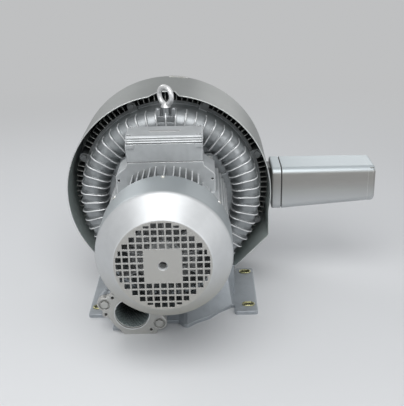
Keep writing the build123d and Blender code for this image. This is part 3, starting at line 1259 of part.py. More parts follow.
def shroud():
    """Sheet drum over the second stage, open at the front and under the base, with a vented back."""
    body = across(shroud_area(0, 0) - shroud_area(SHROUD_SHEET, 5), SHROUD_FRONT, SHROUD_BACK)
    back = shroud_area(0, 0)
    slot_middle, slot_length = sum(VENT_R) / 2, VENT_R[1] - VENT_R[0]
    vents = [Rot(0, 0, step * 360 / VENT_COUNT) * Pos(slot_middle, 0) * SlotOverall(slot_length, VENT_WIDTH)
             for step in range(VENT_COUNT)]
    back -= vents
    for angle in standoff_angles():
        back -= Pos(*polar(STANDOFF_R, angle)) * Circle(STANDOFF_BOLT / 2 + BOLT_GAP)
    body += across(back, SHROUD_BACK - SHROUD_SHEET, SHROUD_BACK)
    front, deep = SHROUD_FRONT - 1, SHROUD_FRONT + NOTCH_DEPTH
    notch = polygon((NOTCH_WIDE[0], front), (NOTCH_WIDE[1], front), (NOTCH_NARROW[1], deep), (NOTCH_NARROW[0], deep))
    body -= Pos(0, 0, AXIS_Z + SHROUD_R - 20) * extrude(notch, 40)
    opening = (OUTLET_BOSS[0] + 4, OUTLET_BOSS[1] + 4)
    body -= outlet_block(opening, (TORUS_OUT, OUTLET_FACE + 10))
    for side in (-1, 1):
        for y in TAB_SCREW_Y:
            hole = Rot(0, 90, 0) * Cylinder(2.5 + BOLT_GAP, 8)
            body -= Pos(side * SHROUD_FOOT_X, y, TAB_SCREW_Z) * hole
    return body


def shroud_clips():
    """Short straps over the rear edge of the shroud."""
    clips = []
    for angle in CLIP_ANGLES:
        strap = CenterArc((0, 0), SHROUD_R + 0.8, angle - 5.6, 11.2)
        band = across(trace(strap, 1.5), SHROUD_BACK - 12, SHROUD_BACK + 1.6)
        lip = across(trace(CenterArc((0, 0), SHROUD_R - 5, angle - 5.6, 11.2), 13), SHROUD_BACK, SHROUD_BACK + 1.6)
        clips.append(Pos(SHROUD_X, 0, 0) * (band + lip))
    return clips


def shroud_foam():
    """Sound absorbing ring on the inside of the shroud's back."""
    return ring(TORUS_OUT, FIN_TIP_R + 2, SHROUD_BACK - SHROUD_SHEET - 12, SHROUD_BACK - SHROUD_SHEET)


def standoffs():
    """Spacer tubes between the rear casing and the back of the shroud."""
    tubes = []
    for angle in standoff_angles():
        x, z = polar(STANDOFF_R, angle)
        tube = Circle(8) - Circle(STANDOFF_BOLT / 2 + BOLT_GAP)
        tubes.append(across(Pos(x, z) * tube, STANDOFF_SEAT, SHROUD_BACK - SHROUD_SHEET))
    return tubes


def shroud_screws():
    """Screws through the shroud's back and through its two lower tabs."""
    screws = []
    length = SHROUD_BACK - STANDOFF_SEAT + 12
    for angle in standoff_angles():
        x, z = polar(STANDOFF_R, angle)
        screws.append(placed(pan_screw(STANDOFF_BOLT, length), (x, SHROUD_BACK, AXIS_Z + z), (0, -1, 0)))
    for side in (-1, 1):
        for y in TAB_SCREW_Y:
            screws.append(placed(pan_screw(5.0, 13.0), (side * SHROUD_FOOT_X, y, TAB_SCREW_Z), (-side, 0, 0)))
    return screws


def cross_plane(x, rise=0.0):
    """Plane across the silencer: local x is +Y and local y is +Z."""
    return Plane(origin=(x, SILENCER_Y, AXIS_Z + SILENCER_Z + rise), x_dir=(0, 1, 0), z_dir=(1, 0, 0))


SILENCER_BODY_END = SILENCER_ROOT + SILENCER_LENGTH
SILENCER_END = SILENCER_BODY_END + SILENCER_CAP


def outlet_neck():
    """Flanged neck between the outlet boss and the silencer."""
    depth, height = SILENCER_ROOT_SIZE
    outline = RectangleRounded(depth, height, SILENCER_CORNER)
    body = extrude(cross_plane(OUTLET_FACE) * outline, NECK_PLATE + NECK_LENGTH)
    body = fillet(body.edges().group_by(Axis.X)[0], 4)
    body -= outlet_block(OUTLET_HOLE, (OUTLET_FACE - 1, OUTLET_FACE + NECK_PLATE + NECK_LENGTH + 1))
    return body - [screw_hole(x, y, z) for x, y, z in neck_screw_places()]


def neck_screw_places():
    """Places of the screws that hold the neck to the outlet boss."""
    out_y, out_z = OUTLET_BOSS[0] / 2 - 4, OUTLET_BOSS[1] / 2 - 7
    return [(OUTLET_FACE + NECK_PLATE + NECK_LENGTH, OUTLET_Y + sy * out_y, AXIS_Z + SILENCER_Z + sz * out_z)
            for sy in (-1, 1) for sz in (-1, 1)]


def screw_hole(x, y, z):
    """Clearance hole along X for one neck screw."""
    return Pos(x, y, z) * Rot(0, 90, 0) * Cylinder(3 + BOLT_GAP, 60)


def neck_screws():
    """Screws through the neck into the outlet boss, sunk flush with the neck's end."""
    screw = Pos(0, 0, 17.5) * Cylinder(3, 35) + Pos(0, 0, 0.5) * Cylinder(3.3, 1)
    return [placed(screw, place, (-1, 0, 0)) for place in neck_screw_places()]


def silencer_seal():
    """Dark seal between the neck and the silencer's body."""
    depth, height = SILENCER_ROOT_SIZE
    start = OUTLET_FACE + NECK_PLATE + NECK_LENGTH
    sheet = extrude(cross_plane(start) * RectangleRounded(depth - 7, height - 7, SILENCER_CORNER - 3.5), SILENCER_ROOT - start)
    return sheet - outlet_block(OUTLET_HOLE, (start - 1, SILENCER_ROOT + 1))


def tapered_box(shrink, start, end):
    """Body of the silencer between two places, smaller towards its far end."""
    sections = []
    for x in (start, end):
        share = (x - SILENCER_ROOT) / SILENCER_LENGTH
        depth = SILENCER_ROOT_SIZE[0] + share * (SILENCER_END_SIZE[0] - SILENCER_ROOT_SIZE[0])
        height = SILENCER_ROOT_SIZE[1] + share * (SILENCER_END_SIZE[1] - SILENCER_ROOT_SIZE[1])
        outline = RectangleRounded(depth - 2 * shrink, height - 2 * shrink, SILENCER_CORNER - shrink)
        sections.append(cross_plane(x, share * SILENCER_END_RISE) * outline)
    return loft(sections)


def silencer_body():
    """Cast box of the silencer, open at its far end and with the air hole in its root."""
    outer = tapered_box(0, SILENCER_ROOT, SILENCER_BODY_END)
    outer = fillet(outer.edges().group_by(Axis.X)[0], 1.5)
    body = outer - tapered_box(SILENCER_WALL, SILENCER_ROOT + SILENCER_WALL + 2, SILENCER_BODY_END + 1)
    body -= outlet_block(OUTLET_HOLE, (SILENCER_ROOT - 1, SILENCER_ROOT + SILENCER_WALL + 3))
    for y, z in cap_screw_places():
        column = Pos(SILENCER_BODY_END - 12, y, z) * Rot(0, 90, 0) * Cylinder(8, 24)
        body += column & outer
        body -= Pos(SILENCER_BODY_END - 8, y, z) * Rot(0, 90, 0) * Cylinder(3 + THREAD_GAP, 18)
    return body


def cap_screw_places():
    """Places of the end cap's screws as (y, z)."""
    out_y, out_z = SILENCER_END_SIZE[0] / 2 - 12, SILENCER_END_SIZE[1] / 2 - 12
    middle = AXIS_Z + SILENCER_Z + SILENCER_END_RISE
    return [(SILENCER_Y + sy * out_y, middle + sz * out_z) for sy in (-1, 1) for sz in (-1, 1)]


def silencer_cap():
    """End cap with the outlet port and its four threaded holes, slotted at the top of its front edge."""
    depth, height = SILENCER_END_SIZE
    plane = cross_plane(SILENCER_BODY_END, SILENCER_END_RISE)
    body = extrude(plane * RectangleRounded(depth, height, SILENCER_CORNER), SILENCER_CAP)
    body = fillet(body.edges().group_by(Axis.X)[-1], 10)
    face = Plane(origin=(SILENCER_END, plane.origin.Y, plane.origin.Z), x_dir=(0, 1, 0), z_dir=(1, 0, 0))
    body -= extrude(face * Circle(OUTLET_PORT_R), -SILENCER_CAP - 1)
    for step in range(4):
        spot = Rot(0, 0, 90 * step) * Pos(OUTLET_PCD / 2, 0) * Circle(PORT_THREAD / 2)
        body -= extrude(face * spot, -SILENCER_CAP - 1)
    for y, z in cap_screw_places():
        hole = Pos(SILENCER_END - SILENCER_CAP / 2, y, z) * Rot(0, 90, 0)
        body -= [hole * Cylinder(3 + BOLT_GAP, SILENCER_CAP + 2), hole * Pos(0, 0, SILENCER_CAP / 2) * Cylinder(6.2, 10)]
    front_y, top_z = SILENCER_Y - depth / 2, plane.origin.Z + height / 2
    body -= block((SILENCER_END - 15, SILENCER_END - 5), (front_y - 1, front_y + 9), (top_z - 6, top_z - 3.4))
    return body


def cap_screws():
    """Screws of the silencer's end cap, sunk below its face."""
    screw = pan_screw(6.0, SILENCER_CAP - 5 + 14)
    return [placed(screw, (SILENCER_END - 5, y, z), (-1, 0, 0)) for y, z in cap_screw_places()]


def silencer_liner():
    """Perforated tube through the silencer."""
    start = SILENCER_ROOT + SILENCER_WALL + 2.1
    tube = perforated_tube(SILENCER_LINER_R, SILENCER_BODY_END - start, 9.0, 6, 8)
    return placed(tube, (start, SILENCER_Y, AXIS_Z + SILENCER_Z + SILENCER_END_RISE), (1, 0, 0))


def silencer_foam():
    """Sound absorbing filling round the perforated tube."""
    start, end = SILENCER_ROOT + SILENCER_WALL + 2.1, SILENCER_BODY_END - 26
    body = tapered_box(SILENCER_WALL + 0.1, start, end)
    core = Cylinder(SILENCER_LINER_R + LINER_SHEET + SEAT_GAP, 2 * SILENCER_LENGTH)
    return body - Pos(SILENCER_BODY_END, SILENCER_Y, AXIS_Z + SILENCER_Z + SILENCER_END_RISE) * Rot(0, 90, 0) * core


def main():
    """Build every piece and write it to its own file."""
    os.makedirs("parts", exist_ok=True)
    shell = casing_shell()
    keep("base_foot", base_foot())
    keep("base_bolts", *base_bolts())
    keep("inlet_flange", inlet_flange())
    keep("inlet_gaskets", inlet_gasket(), neck_gasket())
    keep("inlet_bolts", *inlet_bolts())
    keep("inlet_liner", inlet_liner())
    keep("inlet_foam", inlet_foam())
    keep("front_casing", front_casing(shell))
    keep("middle_casing", middle_casing())
    keep("rear_casing", rear_casing(shell))
    keep("casing_bolts", *casing_bolts())
    keep("casing_seals", joint_seal(FRONT_JOINT_Y), joint_seal(REAR_JOINT_Y))
    keep("eye_bolt", eye_bolt())
    keep("front_impeller", impeller(FRONT_IMPELLER_Y))
    keep("rear_impeller", impeller(REAR_IMPELLER_Y))
    keep("shaft_spacers", front_spacer(), impeller_spacer())
    keep("impeller_key", key_block(FRONT_IMPELLER_Y + 1, SHAFT_REAR - 1))
    keep("end_washer", end_washer())
    keep("end_bolt", end_bolt())
    keep("shaft_seals", shaft_seal(WEB_FRONT + 1, SPACER_R), shaft_seal(MIRROR_Y - 4, SPACER_R))
    keep("shroud", shroud())
    keep("shroud_clips", *shroud_clips())
    keep("shroud_foam", shroud_foam())
    keep("shroud_standoffs", *standoffs())
    keep("shroud_screws", *shroud_screws())
    keep("motor_frame", motor_frame())
    keep("drive_shield", drive_shield())
    keep("fan_shield", fan_shield())
    keep("shield_bolts", *shield_bolts())
    keep("stator_core", stator_core())
    keep("stator_windings", stator_windings())
    keep("rotor_core", rotor_core())
    keep("rotor_cage", rotor_cage())
    keep("motor_shaft", motor_shaft())
    for name, sizes, front in (("drive", DRIVE_BEARING, DRIVE_BEARING_FRONT), ("fan", FAN_BEARING, FAN_BEARING_FRONT)):
        keep(f"{name}_bearing_outer", race(sizes, front, True))
        keep(f"{name}_bearing_inner", race(sizes, front, False))
        keep(f"{name}_bearing_balls", *balls(sizes, front), cage(sizes, front))
    keep("preload_spring", preload_spring())
    keep("cooling_fan", cooling_fan())
    keep("fan_circlip", fan_circlip())
    keep("fan_cowl", fan_cowl())
    keep("cowl_screws", *cowl_screws())
    keep("terminal_box", terminal_box())
    keep("box_seals", box_plate_seal(AXIS_Z + BOX_SEAT), box_plate_seal(AXIS_Z + BOX_SEAT + BOX_HEIGHT))
    keep("terminal_lid", terminal_lid())
    keep("box_screws", *lid_screws(), *box_screws())
    keep("blank_plate", blank_plate())
    keep("terminal_block", terminal_block())
    keep("terminal_studs", *terminal_studs())
    keep("entry_plug", entry_plug())
    keep("outlet_neck", outlet_neck())
    keep("silencer_seal", silencer_seal())
    keep("silencer_body", silencer_body())
    keep("silencer_cap", silencer_cap())
    keep("silencer_screws", *neck_screws(), *cap_screws())
    keep("silencer_liner", silencer_liner())
    keep("silencer_foam", silencer_foam())


main()
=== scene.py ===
"""Looks of a two-stage side channel blower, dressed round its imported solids.

Sizes are in metres in the blower's own frame: +Z up, +Y away from the fan cowl, +X towards the silencer.
"""

import json
import logging
from collections.abc import Iterable, Sequence
from dataclasses import dataclass
from enum import Enum
from math import acos, atan2, cos, degrees, pi, radians, sin, tan

import bpy
from mathutils import Matrix, Vector

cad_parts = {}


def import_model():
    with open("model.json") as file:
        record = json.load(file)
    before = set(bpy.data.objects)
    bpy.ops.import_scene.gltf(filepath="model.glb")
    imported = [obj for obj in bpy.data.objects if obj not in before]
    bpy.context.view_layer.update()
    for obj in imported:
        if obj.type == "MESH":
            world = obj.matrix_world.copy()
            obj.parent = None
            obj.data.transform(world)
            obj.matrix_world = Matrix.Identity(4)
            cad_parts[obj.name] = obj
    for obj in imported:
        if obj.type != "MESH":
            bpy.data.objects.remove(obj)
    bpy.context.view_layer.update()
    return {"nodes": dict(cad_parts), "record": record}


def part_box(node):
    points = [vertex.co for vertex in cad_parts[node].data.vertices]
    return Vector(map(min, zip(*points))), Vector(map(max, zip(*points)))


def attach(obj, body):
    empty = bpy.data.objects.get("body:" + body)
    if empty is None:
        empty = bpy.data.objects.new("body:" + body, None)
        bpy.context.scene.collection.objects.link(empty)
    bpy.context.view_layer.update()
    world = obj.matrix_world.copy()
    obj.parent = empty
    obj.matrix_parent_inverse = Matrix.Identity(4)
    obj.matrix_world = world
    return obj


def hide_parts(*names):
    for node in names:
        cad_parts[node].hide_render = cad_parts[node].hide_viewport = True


LOG = logging.getLogger("blower")
SHAFT_Z = 0.280
STILL = "blower"
Colour = tuple[float, float, float]
Point = tuple[float, float, float]
Spot = tuple[float, float]


class Wire:
    """A value in a node tree, on which sums are written as plain expressions."""

    def __init__(self, nodes: "Nodes", socket: bpy.types.NodeSocket) -> None:
        """Holds a socket.

        Args:
            nodes: The nodes that the socket belongs to.
            socket: The output socket.
        """
        self.nodes = nodes
        self.socket = socket

    def math(self, operation: str, *others: "Wire | float") -> "Wire":
        """The result of a Math node whose first value is this one."""
        return self.nodes.sum(operation, self, *others)

    def __add__(self, other: "Wire | float") -> "Wire":
        """This value plus another."""
        return self.math("ADD", other)

    def __sub__(self, other: "Wire | float") -> "Wire":
        """This value less another."""
        return self.math("SUBTRACT", other)

    def __rsub__(self, other: float) -> "Wire":
        """A number less this value."""
        return self.nodes.sum("SUBTRACT", other, self)

    def __mul__(self, other: "Wire | float") -> "Wire":
        """This value times another."""
        return self.math("MULTIPLY", other)

    def __truediv__(self, other: "Wire | float") -> "Wire":
        """This value divided by another."""
        return self.math("DIVIDE", other)

    def __rtruediv__(self, other: float) -> "Wire":
        """A number divided by this value."""
        return self.nodes.sum("DIVIDE", other, self)

    def power(self, exponent: float) -> "Wire":
        """This value to a power."""
        return self.math("POWER", exponent)

    def size(self) -> "Wire":
        """This value without its sign."""
        return self.math("ABSOLUTE")

    def most(self, other: "Wire | float") -> "Wire":
        """The larger of this value and another."""
        return self.math("MAXIMUM", other)

    def least(self, other: "Wire | float") -> "Wire":
        """The smaller of this value and another."""
        return self.math("MINIMUM", other)

    def wave(self, scale: float) -> "Wire":
        """A sine wave of this value times a scale, from 0 to 1."""
        return (self * scale).math("SINE") * 0.5 + 0.5

    def ramp(self, low: float, high: float, start: float = 0.0, end: float = 1.0) -> "Wire":
        """This value carried smoothly from one range to another.

        Args:
            low: The value that gives start.
            high: The value that gives end.
            start: The result at low.
            end: The result at high.

        Returns:
            The result, held inside its range.
        """
        inputs = {"Value": self, "From Min": low, "From Max": high, "To Min": start, "To Max": end}
        return self.nodes.node("ShaderNodeMapRange", {"interpolation_type": "SMOOTHSTEP"}, inputs)


class Nodes:
    """A node tree, to which each call adds a node."""

    def __init__(self, tree: bpy.types.NodeTree) -> None:
        """Holds a tree."""
        self.tree = tree

    def node(
        self,
        kind: str,
        settings: dict[str, object] | None = None,
        inputs: dict[str | int, object] | None = None,
        output: str | int = 0,
    ) -> Wire:
        """Adds any node.

        Args:
            kind: The node's type.
            settings: The node's own settings, which are set first.
            inputs: Values, wires or lists of wires for its sockets, by name or number.
            output: The socket that is handed back.

        Returns:
            The output as a wire.
        """
        made = self.tree.nodes.new(kind)
        for key, value in (settings or {}).items():
            setattr(made, key, value)
        for key, value in (inputs or {}).items():
            for one in value if isinstance(value, list) else [value]:
                if isinstance(one, Wire):
                    self.tree.links.new(one.socket, made.inputs[key])
                else:
                    made.inputs[key].default_value = one
        return Wire(self, made.outputs[output])

    def sum(self, operation: str, *values: Wire | float) -> Wire:
        """Adds a Math node."""
        return self.node("ShaderNodeMath", {"operation": operation}, dict(enumerate(values)))

    def parts(self, vector: Wire) -> list[Wire]:
        """The three parts of a vector."""
        made = self.node("ShaderNodeSeparateXYZ", None, {0: vector}).socket.node
        return [Wire(self, socket) for socket in made.outputs]

    def spot(self, **parts: Wire | float) -> Wire:
        """A vector made of its parts X, Y and Z."""
        return self.node("ShaderNodeCombineXYZ", None, dict(parts))

    def light(self, kind: str, colour: Colour, strength: float) -> Wire:
        """A shader that gives light of its own."""
        return self.node(kind, None, {"Color": (*colour, 1.0), "Strength": strength})

    def seen(self) -> Wire:
        """1 where the camera, metal or glass looks, and 0 where light falls on other things."""
        kinds = ("Is Camera Ray", "Is Glossy Ray", "Is Transmission Ray")
        path = self.node("ShaderNodeLightPath").socket.node
        camera, glossy, through = (Wire(self, path.outputs[kind]) for kind in kinds)
        return camera.most(glossy).most(through)

    def end(self, kind: str, shader: Wire) -> None:
        """Joins a shader to the tree's output."""
        out = self.tree.nodes.new(kind)
        self.tree.links.new(shader.socket, out.inputs["Surface"])


class Graph(Nodes):
    """The nodes of one material."""

    def __init__(self, name: str) -> None:
        """Makes an empty material.

        Args:
            name: The material's name.
        """
        self.material = bpy.data.materials.new(name)
        self.material.use_nodes = True
        super().__init__(self.material.node_tree)
        self.tree.nodes.clear()
        self.place = self.node("ShaderNodeTexCoord", output="Object")

    def mix(self, share: Wire | float, first: Wire | Colour, second: Wire | Colour) -> Wire:
        """Mixes two colours.

        Args:
            share: How much of the second colour shows.
            first: The colour at 0.
            second: The colour at 1.

        Returns:
            The mixed colour.
        """
        pair = [c if isinstance(c, Wire) else (*c, 1.0) for c in (first, second)]
        inputs = {0: share, 6: pair[0], 7: pair[1]}
        return self.node("ShaderNodeMix", {"data_type": "RGBA", "clamp_factor": True}, inputs, 2)

    def noise(
        self, scale: float, detail: float = 2.0, roughness: float = 0.5, stretch: Point = (1, 1, 1)
    ) -> Wire:
        """Soft noise, from 0 to 1.

        Args:
            scale: Its features per metre.
            detail: How many finer layers it has.
            roughness: How strong those are.
            stretch: How much finer it is along each axis.

        Returns:
            The noise.
        """
        place = self.place
        if tuple(stretch) != (1, 1, 1):
            place = self.node("ShaderNodeVectorMath", {"operation": "MULTIPLY"}, {0: place, 1: stretch})
        inputs = {"Vector": place, "Scale": scale, "Detail": detail, "Roughness": roughness}
        return self.node("ShaderNodeTexNoise", None, inputs)

    def cells(self, scale: float, edges: bool = False) -> Wire:
        """Distance to the nearest cell centre, or to the nearest edge between cells."""
        settings = {"feature": "DISTANCE_TO_EDGE" if edges else "F1"}
        return self.node("ShaderNodeTexVoronoi", settings, {"Vector": self.place, "Scale": scale})

    def axes(self) -> list[Wire]:
        """The place along X, Y and Z, in metres."""
        return self.parts(self.place)

    def normal_share(self, axis: int) -> Wire:
        """How far the surface faces along an axis, from -1 to 1."""
        return self.parts(self.node("ShaderNodeTexCoord", output="Normal"))[axis]

    def radius(self) -> Wire:
        """Distance from the shaft's line."""
        across, _, height = self.axes()
        up = height - SHAFT_Z
        return (across * across + up * up).power(0.5)

    def rounded(self, reach: float) -> Wire:
        """The surface's direction with its edges rounded to a radius."""
        return self.node("ShaderNodeBevel", {"samples": 4}, {"Radius": reach})

    def edge_share(self, reach: float) -> Wire:
        """How near the surface is to an edge, from 0 to 1."""
        flat = self.node("ShaderNodeNewGeometry", output="Normal")
        inputs = {0: flat, 1: self.rounded(reach)}
        turned = self.node("ShaderNodeVectorMath", {"operation": "DOT_PRODUCT"}, inputs, "Value")
        return (1.0 - turned).ramp(0.02, 0.25)

    def shader(
        self,
        colour: Wire | Colour,
        roughness: Wire | float,
        metallic: Wire | float,
        height: Wire | None = None,
        depth: float = 0.0002,
        rounding: float = 0.0,
        fixed: dict[str, float] | None = None,
    ) -> Wire:
        """Adds the surface's shader.

        Args:
            colour: The base colour.
            roughness: How rough the surface is.
            metallic: How much of a metal it is.
            height: The surface's height, from 0 to 1.
            depth: How deep the height goes, in metres.
            rounding: The radius by which sharp edges look rounded.
            fixed: Values for the shader's other sockets.

        Returns:
            The shader.
        """
        inputs: dict[str | int, object] = dict(fixed or {})
        inputs["Base Color"] = colour if isinstance(colour, Wire) else (*colour, 1.0)
        inputs["Roughness"] = roughness
        inputs["Metallic"] = metallic
        if rounding:
            inputs["Normal"] = self.rounded(rounding)
        if height is not None:
            bump: dict[str | int, object] = {"Height": height, "Strength": 1.0, "Distance": depth}
            if rounding:
                bump["Normal"] = inputs["Normal"]
            inputs["Normal"] = self.node("ShaderNodeBump", None, bump)
        return self.node("ShaderNodeBsdfPrincipled", None, inputs)


@dataclass(frozen=True)
class Finish:
    """What every finish has."""

    name: str
    colour: Colour
    roughness: float = 0.4

    def toned(self, share: float) -> Colour:
        """The finish's colour made darker or paler, held inside its range."""
        return tuple(min(1.0, c * share) for c in self.colour)

    def paint(self, graph: Graph, shade: Wire) -> Wire:
        """Adds what one paint has beyond its kind, which here is nothing."""
        return shade

    def surface(self, graph: Graph) -> tuple[object, ...]:
        """The values that the finish gives to its shader."""
        raise NotImplementedError

    def material(self) -> bpy.types.Material:
        """Builds the material."""
        graph = Graph(self.name)
        graph.end("ShaderNodeOutputMaterial", graph.shader(*self.surface(graph)))
        return graph.material


@dataclass(frozen=True)
class CastPaint(Finish):
    """Metallic paint on a sand or die casting, grainy, with brighter edges and duller hollows."""

    metallic: float = 0.6
    grain: float = 420.0
    depth: float = 0.00022
    mottle: float = 0.12
    grime: float = 0.22
    wear: float = 0.5
    bare: Colour = (0.86, 0.87, 0.87)
    rounding: float = 0.0012

    def surface(self, graph: Graph) -> tuple[object, ...]:
        """The values that the finish gives to its shader."""
        broad = graph.noise(7.0, 3.0, 0.55)
        cloud = graph.noise(46.0, 4.0, 0.6)
        grain = graph.noise(self.grain, 3.0, 0.6)
        pits = graph.cells(self.grain * 0.55).ramp(0.08, 0.3)
        patches = (broad * 0.5 + cloud * 0.5).ramp(0.34, 0.66)
        shade = graph.mix(patches, self.toned(1.0 - self.mottle * 1.6), self.toned(1.0 + self.mottle))
        streaks = graph.noise(30.0, 2.0, 0.5, (1.0, 1.0, 0.16)).ramp(0.56, 0.74)
        shade = graph.mix(streaks * self.grime, shade, self.toned(0.62))
        edge = graph.edge_share(self.rounding * 1.6)
        worn = (edge * (cloud.ramp(0.30, 0.62) * 0.75 + 0.25)) * self.wear
        shade = graph.mix(worn, shade, self.bare)
        shade = self.paint(graph, shade)
        rough = (cloud * 0.16 + grain * 0.12) + (self.roughness - 0.14)
        rough = rough - worn * 0.16
        height = grain * 0.65 + pits * 0.35
        metal = worn * 0.3 + self.metallic
        return shade, rough, metal.least(1.0), height, self.depth, self.rounding


@dataclass(frozen=True)
class CasingPaint(CastPaint):
    """Paint of the blower's casings, with painted shade that darkens the flanges and the roots of the fins
    beyond the ribs.
    """

    dusty_r: float = 0.2262
    dusty_y: float = 0.033
    dust: Colour = (0.115, 0.12, 0.12)

    def paint(self, graph: Graph, shade: Wire) -> Wire:
        """Paints shade that darkens the flanges and the roots of the fins."""
        outside = graph.radius().ramp(self.dusty_r - 0.001, self.dusty_r + 0.001)
        behind = graph.axes()[1].ramp(self.dusty_y - 0.003, self.dusty_y + 0.003)
        patches = graph.noise(60.0, 3.0).ramp(0.3, 0.7, 0.72, 0.95)
        # Painted shade, in patches: a dark colour over the flanges and fin roots, where shade falls between
        # the ribbed casing and the shroud.
        return graph.mix(outside * behind * patches, shade, self.dust)


@dataclass(frozen=True)
class BasePaint(CastPaint):
    """Paint of the cast base, rubbed to bare metal round the slots of its feet."""

    slot_x: float = 0.192
    slot_y: float = 0.088
    slot_straight: float = 0.0065
    slot_radius: float = 0.0065
    foot_top: float = 0.010
    rim: Colour = (0.62, 0.62, 0.50)
    wall: Colour = (0.17, 0.165, 0.085)

    def paint(self, graph: Graph, shade: Wire) -> Wire:
        """Lays bare metal over the paint of the slots' rims, and an olive shade down their walls."""
        across, along, up = graph.axes()
        beyond = ((across.size() - self.slot_x).size() - self.slot_straight).most(0.0)
        aside = along.size() - self.slot_y
        gap = (beyond * beyond + aside * aside).power(0.5) - self.slot_radius
        near = gap.ramp(0.0024, 0.0008) * up.ramp(self.foot_top + 0.004, self.foot_top + 0.002)
        patches = graph.noise(120.0, 3.0, 0.6).ramp(0.36, 0.6, 0.45, 0.95)
        shade = graph.mix(near * patches, shade, self.rim)
        walls = near * up.ramp(self.foot_top - 0.0006, self.foot_top - 0.0014)
        return graph.mix(walls, shade, self.wall)


@dataclass(frozen=True)
class SheetPaint(Finish):
    """Smooth satin paint on pressed sheet, with a faint orange peel and a few rubbed places."""

    metallic: float = 0.6
    streak: Point = (1.0, 9.0, 1.0)
    strength: float = 0.10
    wear: float = 0.5
    bare: Colour = (0.88, 0.88, 0.87)
    rounding: float = 0.0009
    scuff: float = 0.18
    scuffed: Colour = (0.82, 0.82, 0.81)

    def surface(self, graph: Graph) -> tuple[object, ...]:
        """The values that the finish gives to its shader."""
        broad = graph.noise(5.0, 2.0, 0.5)
        rubbed = graph.noise(60.0, 3.0, 0.55, self.streak)
        peel = graph.noise(520.0, 1.0, 0.5)
        patches = (broad * 0.6 + rubbed * 0.4).ramp(0.36, 0.64)
        shade = graph.mix(patches, self.toned(1.0 - self.strength), self.toned(1.0 + self.strength * 0.7))
        shade = self.paint(graph, shade)
        edge = graph.edge_share(self.rounding * 1.6) * self.wear
        shade = graph.mix(edge, shade, self.bare)
        scuffs = graph.noise(210.0, 2.0, 0.7, (1.0, 0.12, 1.0)).ramp(0.66, 0.78)
        shade = graph.mix(scuffs * self.scuff, shade, self.scuffed)
        rough = rubbed * 0.08 + broad * 0.06 + (self.roughness - 0.07)
        height = peel * 0.7 + rubbed * 0.3
        return shade, rough, self.metallic, height, 0.00006, self.rounding


@dataclass(frozen=True)
class CowlPaint(SheetPaint):
    """Fan cowl paint with painted shade that darkens its drum, its lower half and its face."""

    drum: Colour = (0.34, 0.375, 0.39)
    warm: Colour = (0.34, 0.33, 0.285)
    warm_z: Spot = (0.30, 0.13)
    face: Colour = (0.42, 0.41, 0.38)
    shoulder_y: float = -0.336

    def paint(self, graph: Graph, shade: Wire) -> Wire:
        """Paints shade onto the drum, the lower half and the face."""
        _, along, up = graph.axes()
        # Painted shade: a darker, warmer lower half, a darker, bluer drum behind the shoulder and a darker
        # face.
        shade = graph.mix(up.ramp(*self.warm_z) * 0.85, shade, self.warm)
        behind = along.ramp(self.shoulder_y - 0.003, self.shoulder_y + 0.004)
        shade = graph.mix(behind * 0.85, shade, self.drum)
        return graph.mix(graph.normal_share(1).ramp(-0.90, -0.985) * 0.75, shade, self.face)


@dataclass(frozen=True)
class DrumPaint(SheetPaint):
    """Paint of the shroud, with painted light that makes it paler inside."""

    inside: Colour = (0.62, 0.70, 0.68)

    def paint(self, graph: Graph, shade: Wire) -> Wire:
        """Paints light that pales the faces that look towards the shaft."""
        across, _, up = graph.axes()
        outward = graph.normal_share(0) * across + graph.normal_share(2) * (up - SHAFT_Z)
        # Painted light: the inside of the shroud is much paler than its outside.
        return graph.mix(outward.ramp(-0.05, -0.12), shade, self.inside)


@dataclass(frozen=True)
class ToppedPaint(SheetPaint):
    """Silencer paint, with a painted highlight on its top and painted light that pales its lower sides."""

    top: Colour = (0.52, 0.57, 0.59)
    low: Colour = (0.47, 0.49, 0.50)
    low_z: Spot = (0.295, 0.220)

    def paint(self, graph: Graph, shade: Wire) -> Wire:
        """Paints light on the lower part of the sides and a highlight on the top."""
        # Painted light: the sides grow paler towards the bottom, and faces that look up get a paler, bluer
        # painted highlight.
        shade = graph.mix(graph.axes()[2].ramp(*self.low_z), shade, self.low)
        return graph.mix(graph.normal_share(2).ramp(0.15, 0.65), shade, self.top)


@dataclass(frozen=True)
class InletPaint(SheetPaint):
    """Perforated sheet of the inlet, with painted shade that darkens the tube further in."""

    clean_y: float = -0.186
    sooty_y: float = -0.110
    soot: Colour = (0.030, 0.038, 0.038)

    def paint(self, graph: Graph, shade: Wire) -> Wire:
        """Paints shade that darkens the tube away from its mouth."""
        # Painted shade: the tube darkens from its mouth inwards, a little unevenly.
        depth = graph.axes()[1] + graph.noise(60.0, 3.0, 0.6) * 0.012
        return graph.mix(depth.ramp(self.clean_y, self.sooty_y, 0.0, 0.97), shade, self.soot)


@dataclass(frozen=True)
class Plated(Finish):
    """Zinc plating, bright, with a faint yellow and blue cast and crystals."""

    tint: Colour = (0.80, 0.76, 0.58)
    metallic: float = 1.0
    rounding: float = 0.0005

    def surface(self, graph: Graph) -> tuple[object, ...]:
        """The values that the finish gives to its shader."""
        cast = graph.noise(70.0, 3.0, 0.6).ramp(0.42, 0.66)
        crystal = graph.cells(620.0)
        shade = graph.mix(cast * 0.75, self.colour, self.tint)
        dull = graph.noise(150.0, 3.0, 0.6).ramp(0.5, 0.75)
        shade = graph.mix(dull * 0.35, shade, self.toned(0.5))
        rough = crystal * 0.18 + dull * 0.2 + (self.roughness - 0.12)
        return shade, rough, self.metallic, crystal, 0.00004, self.rounding


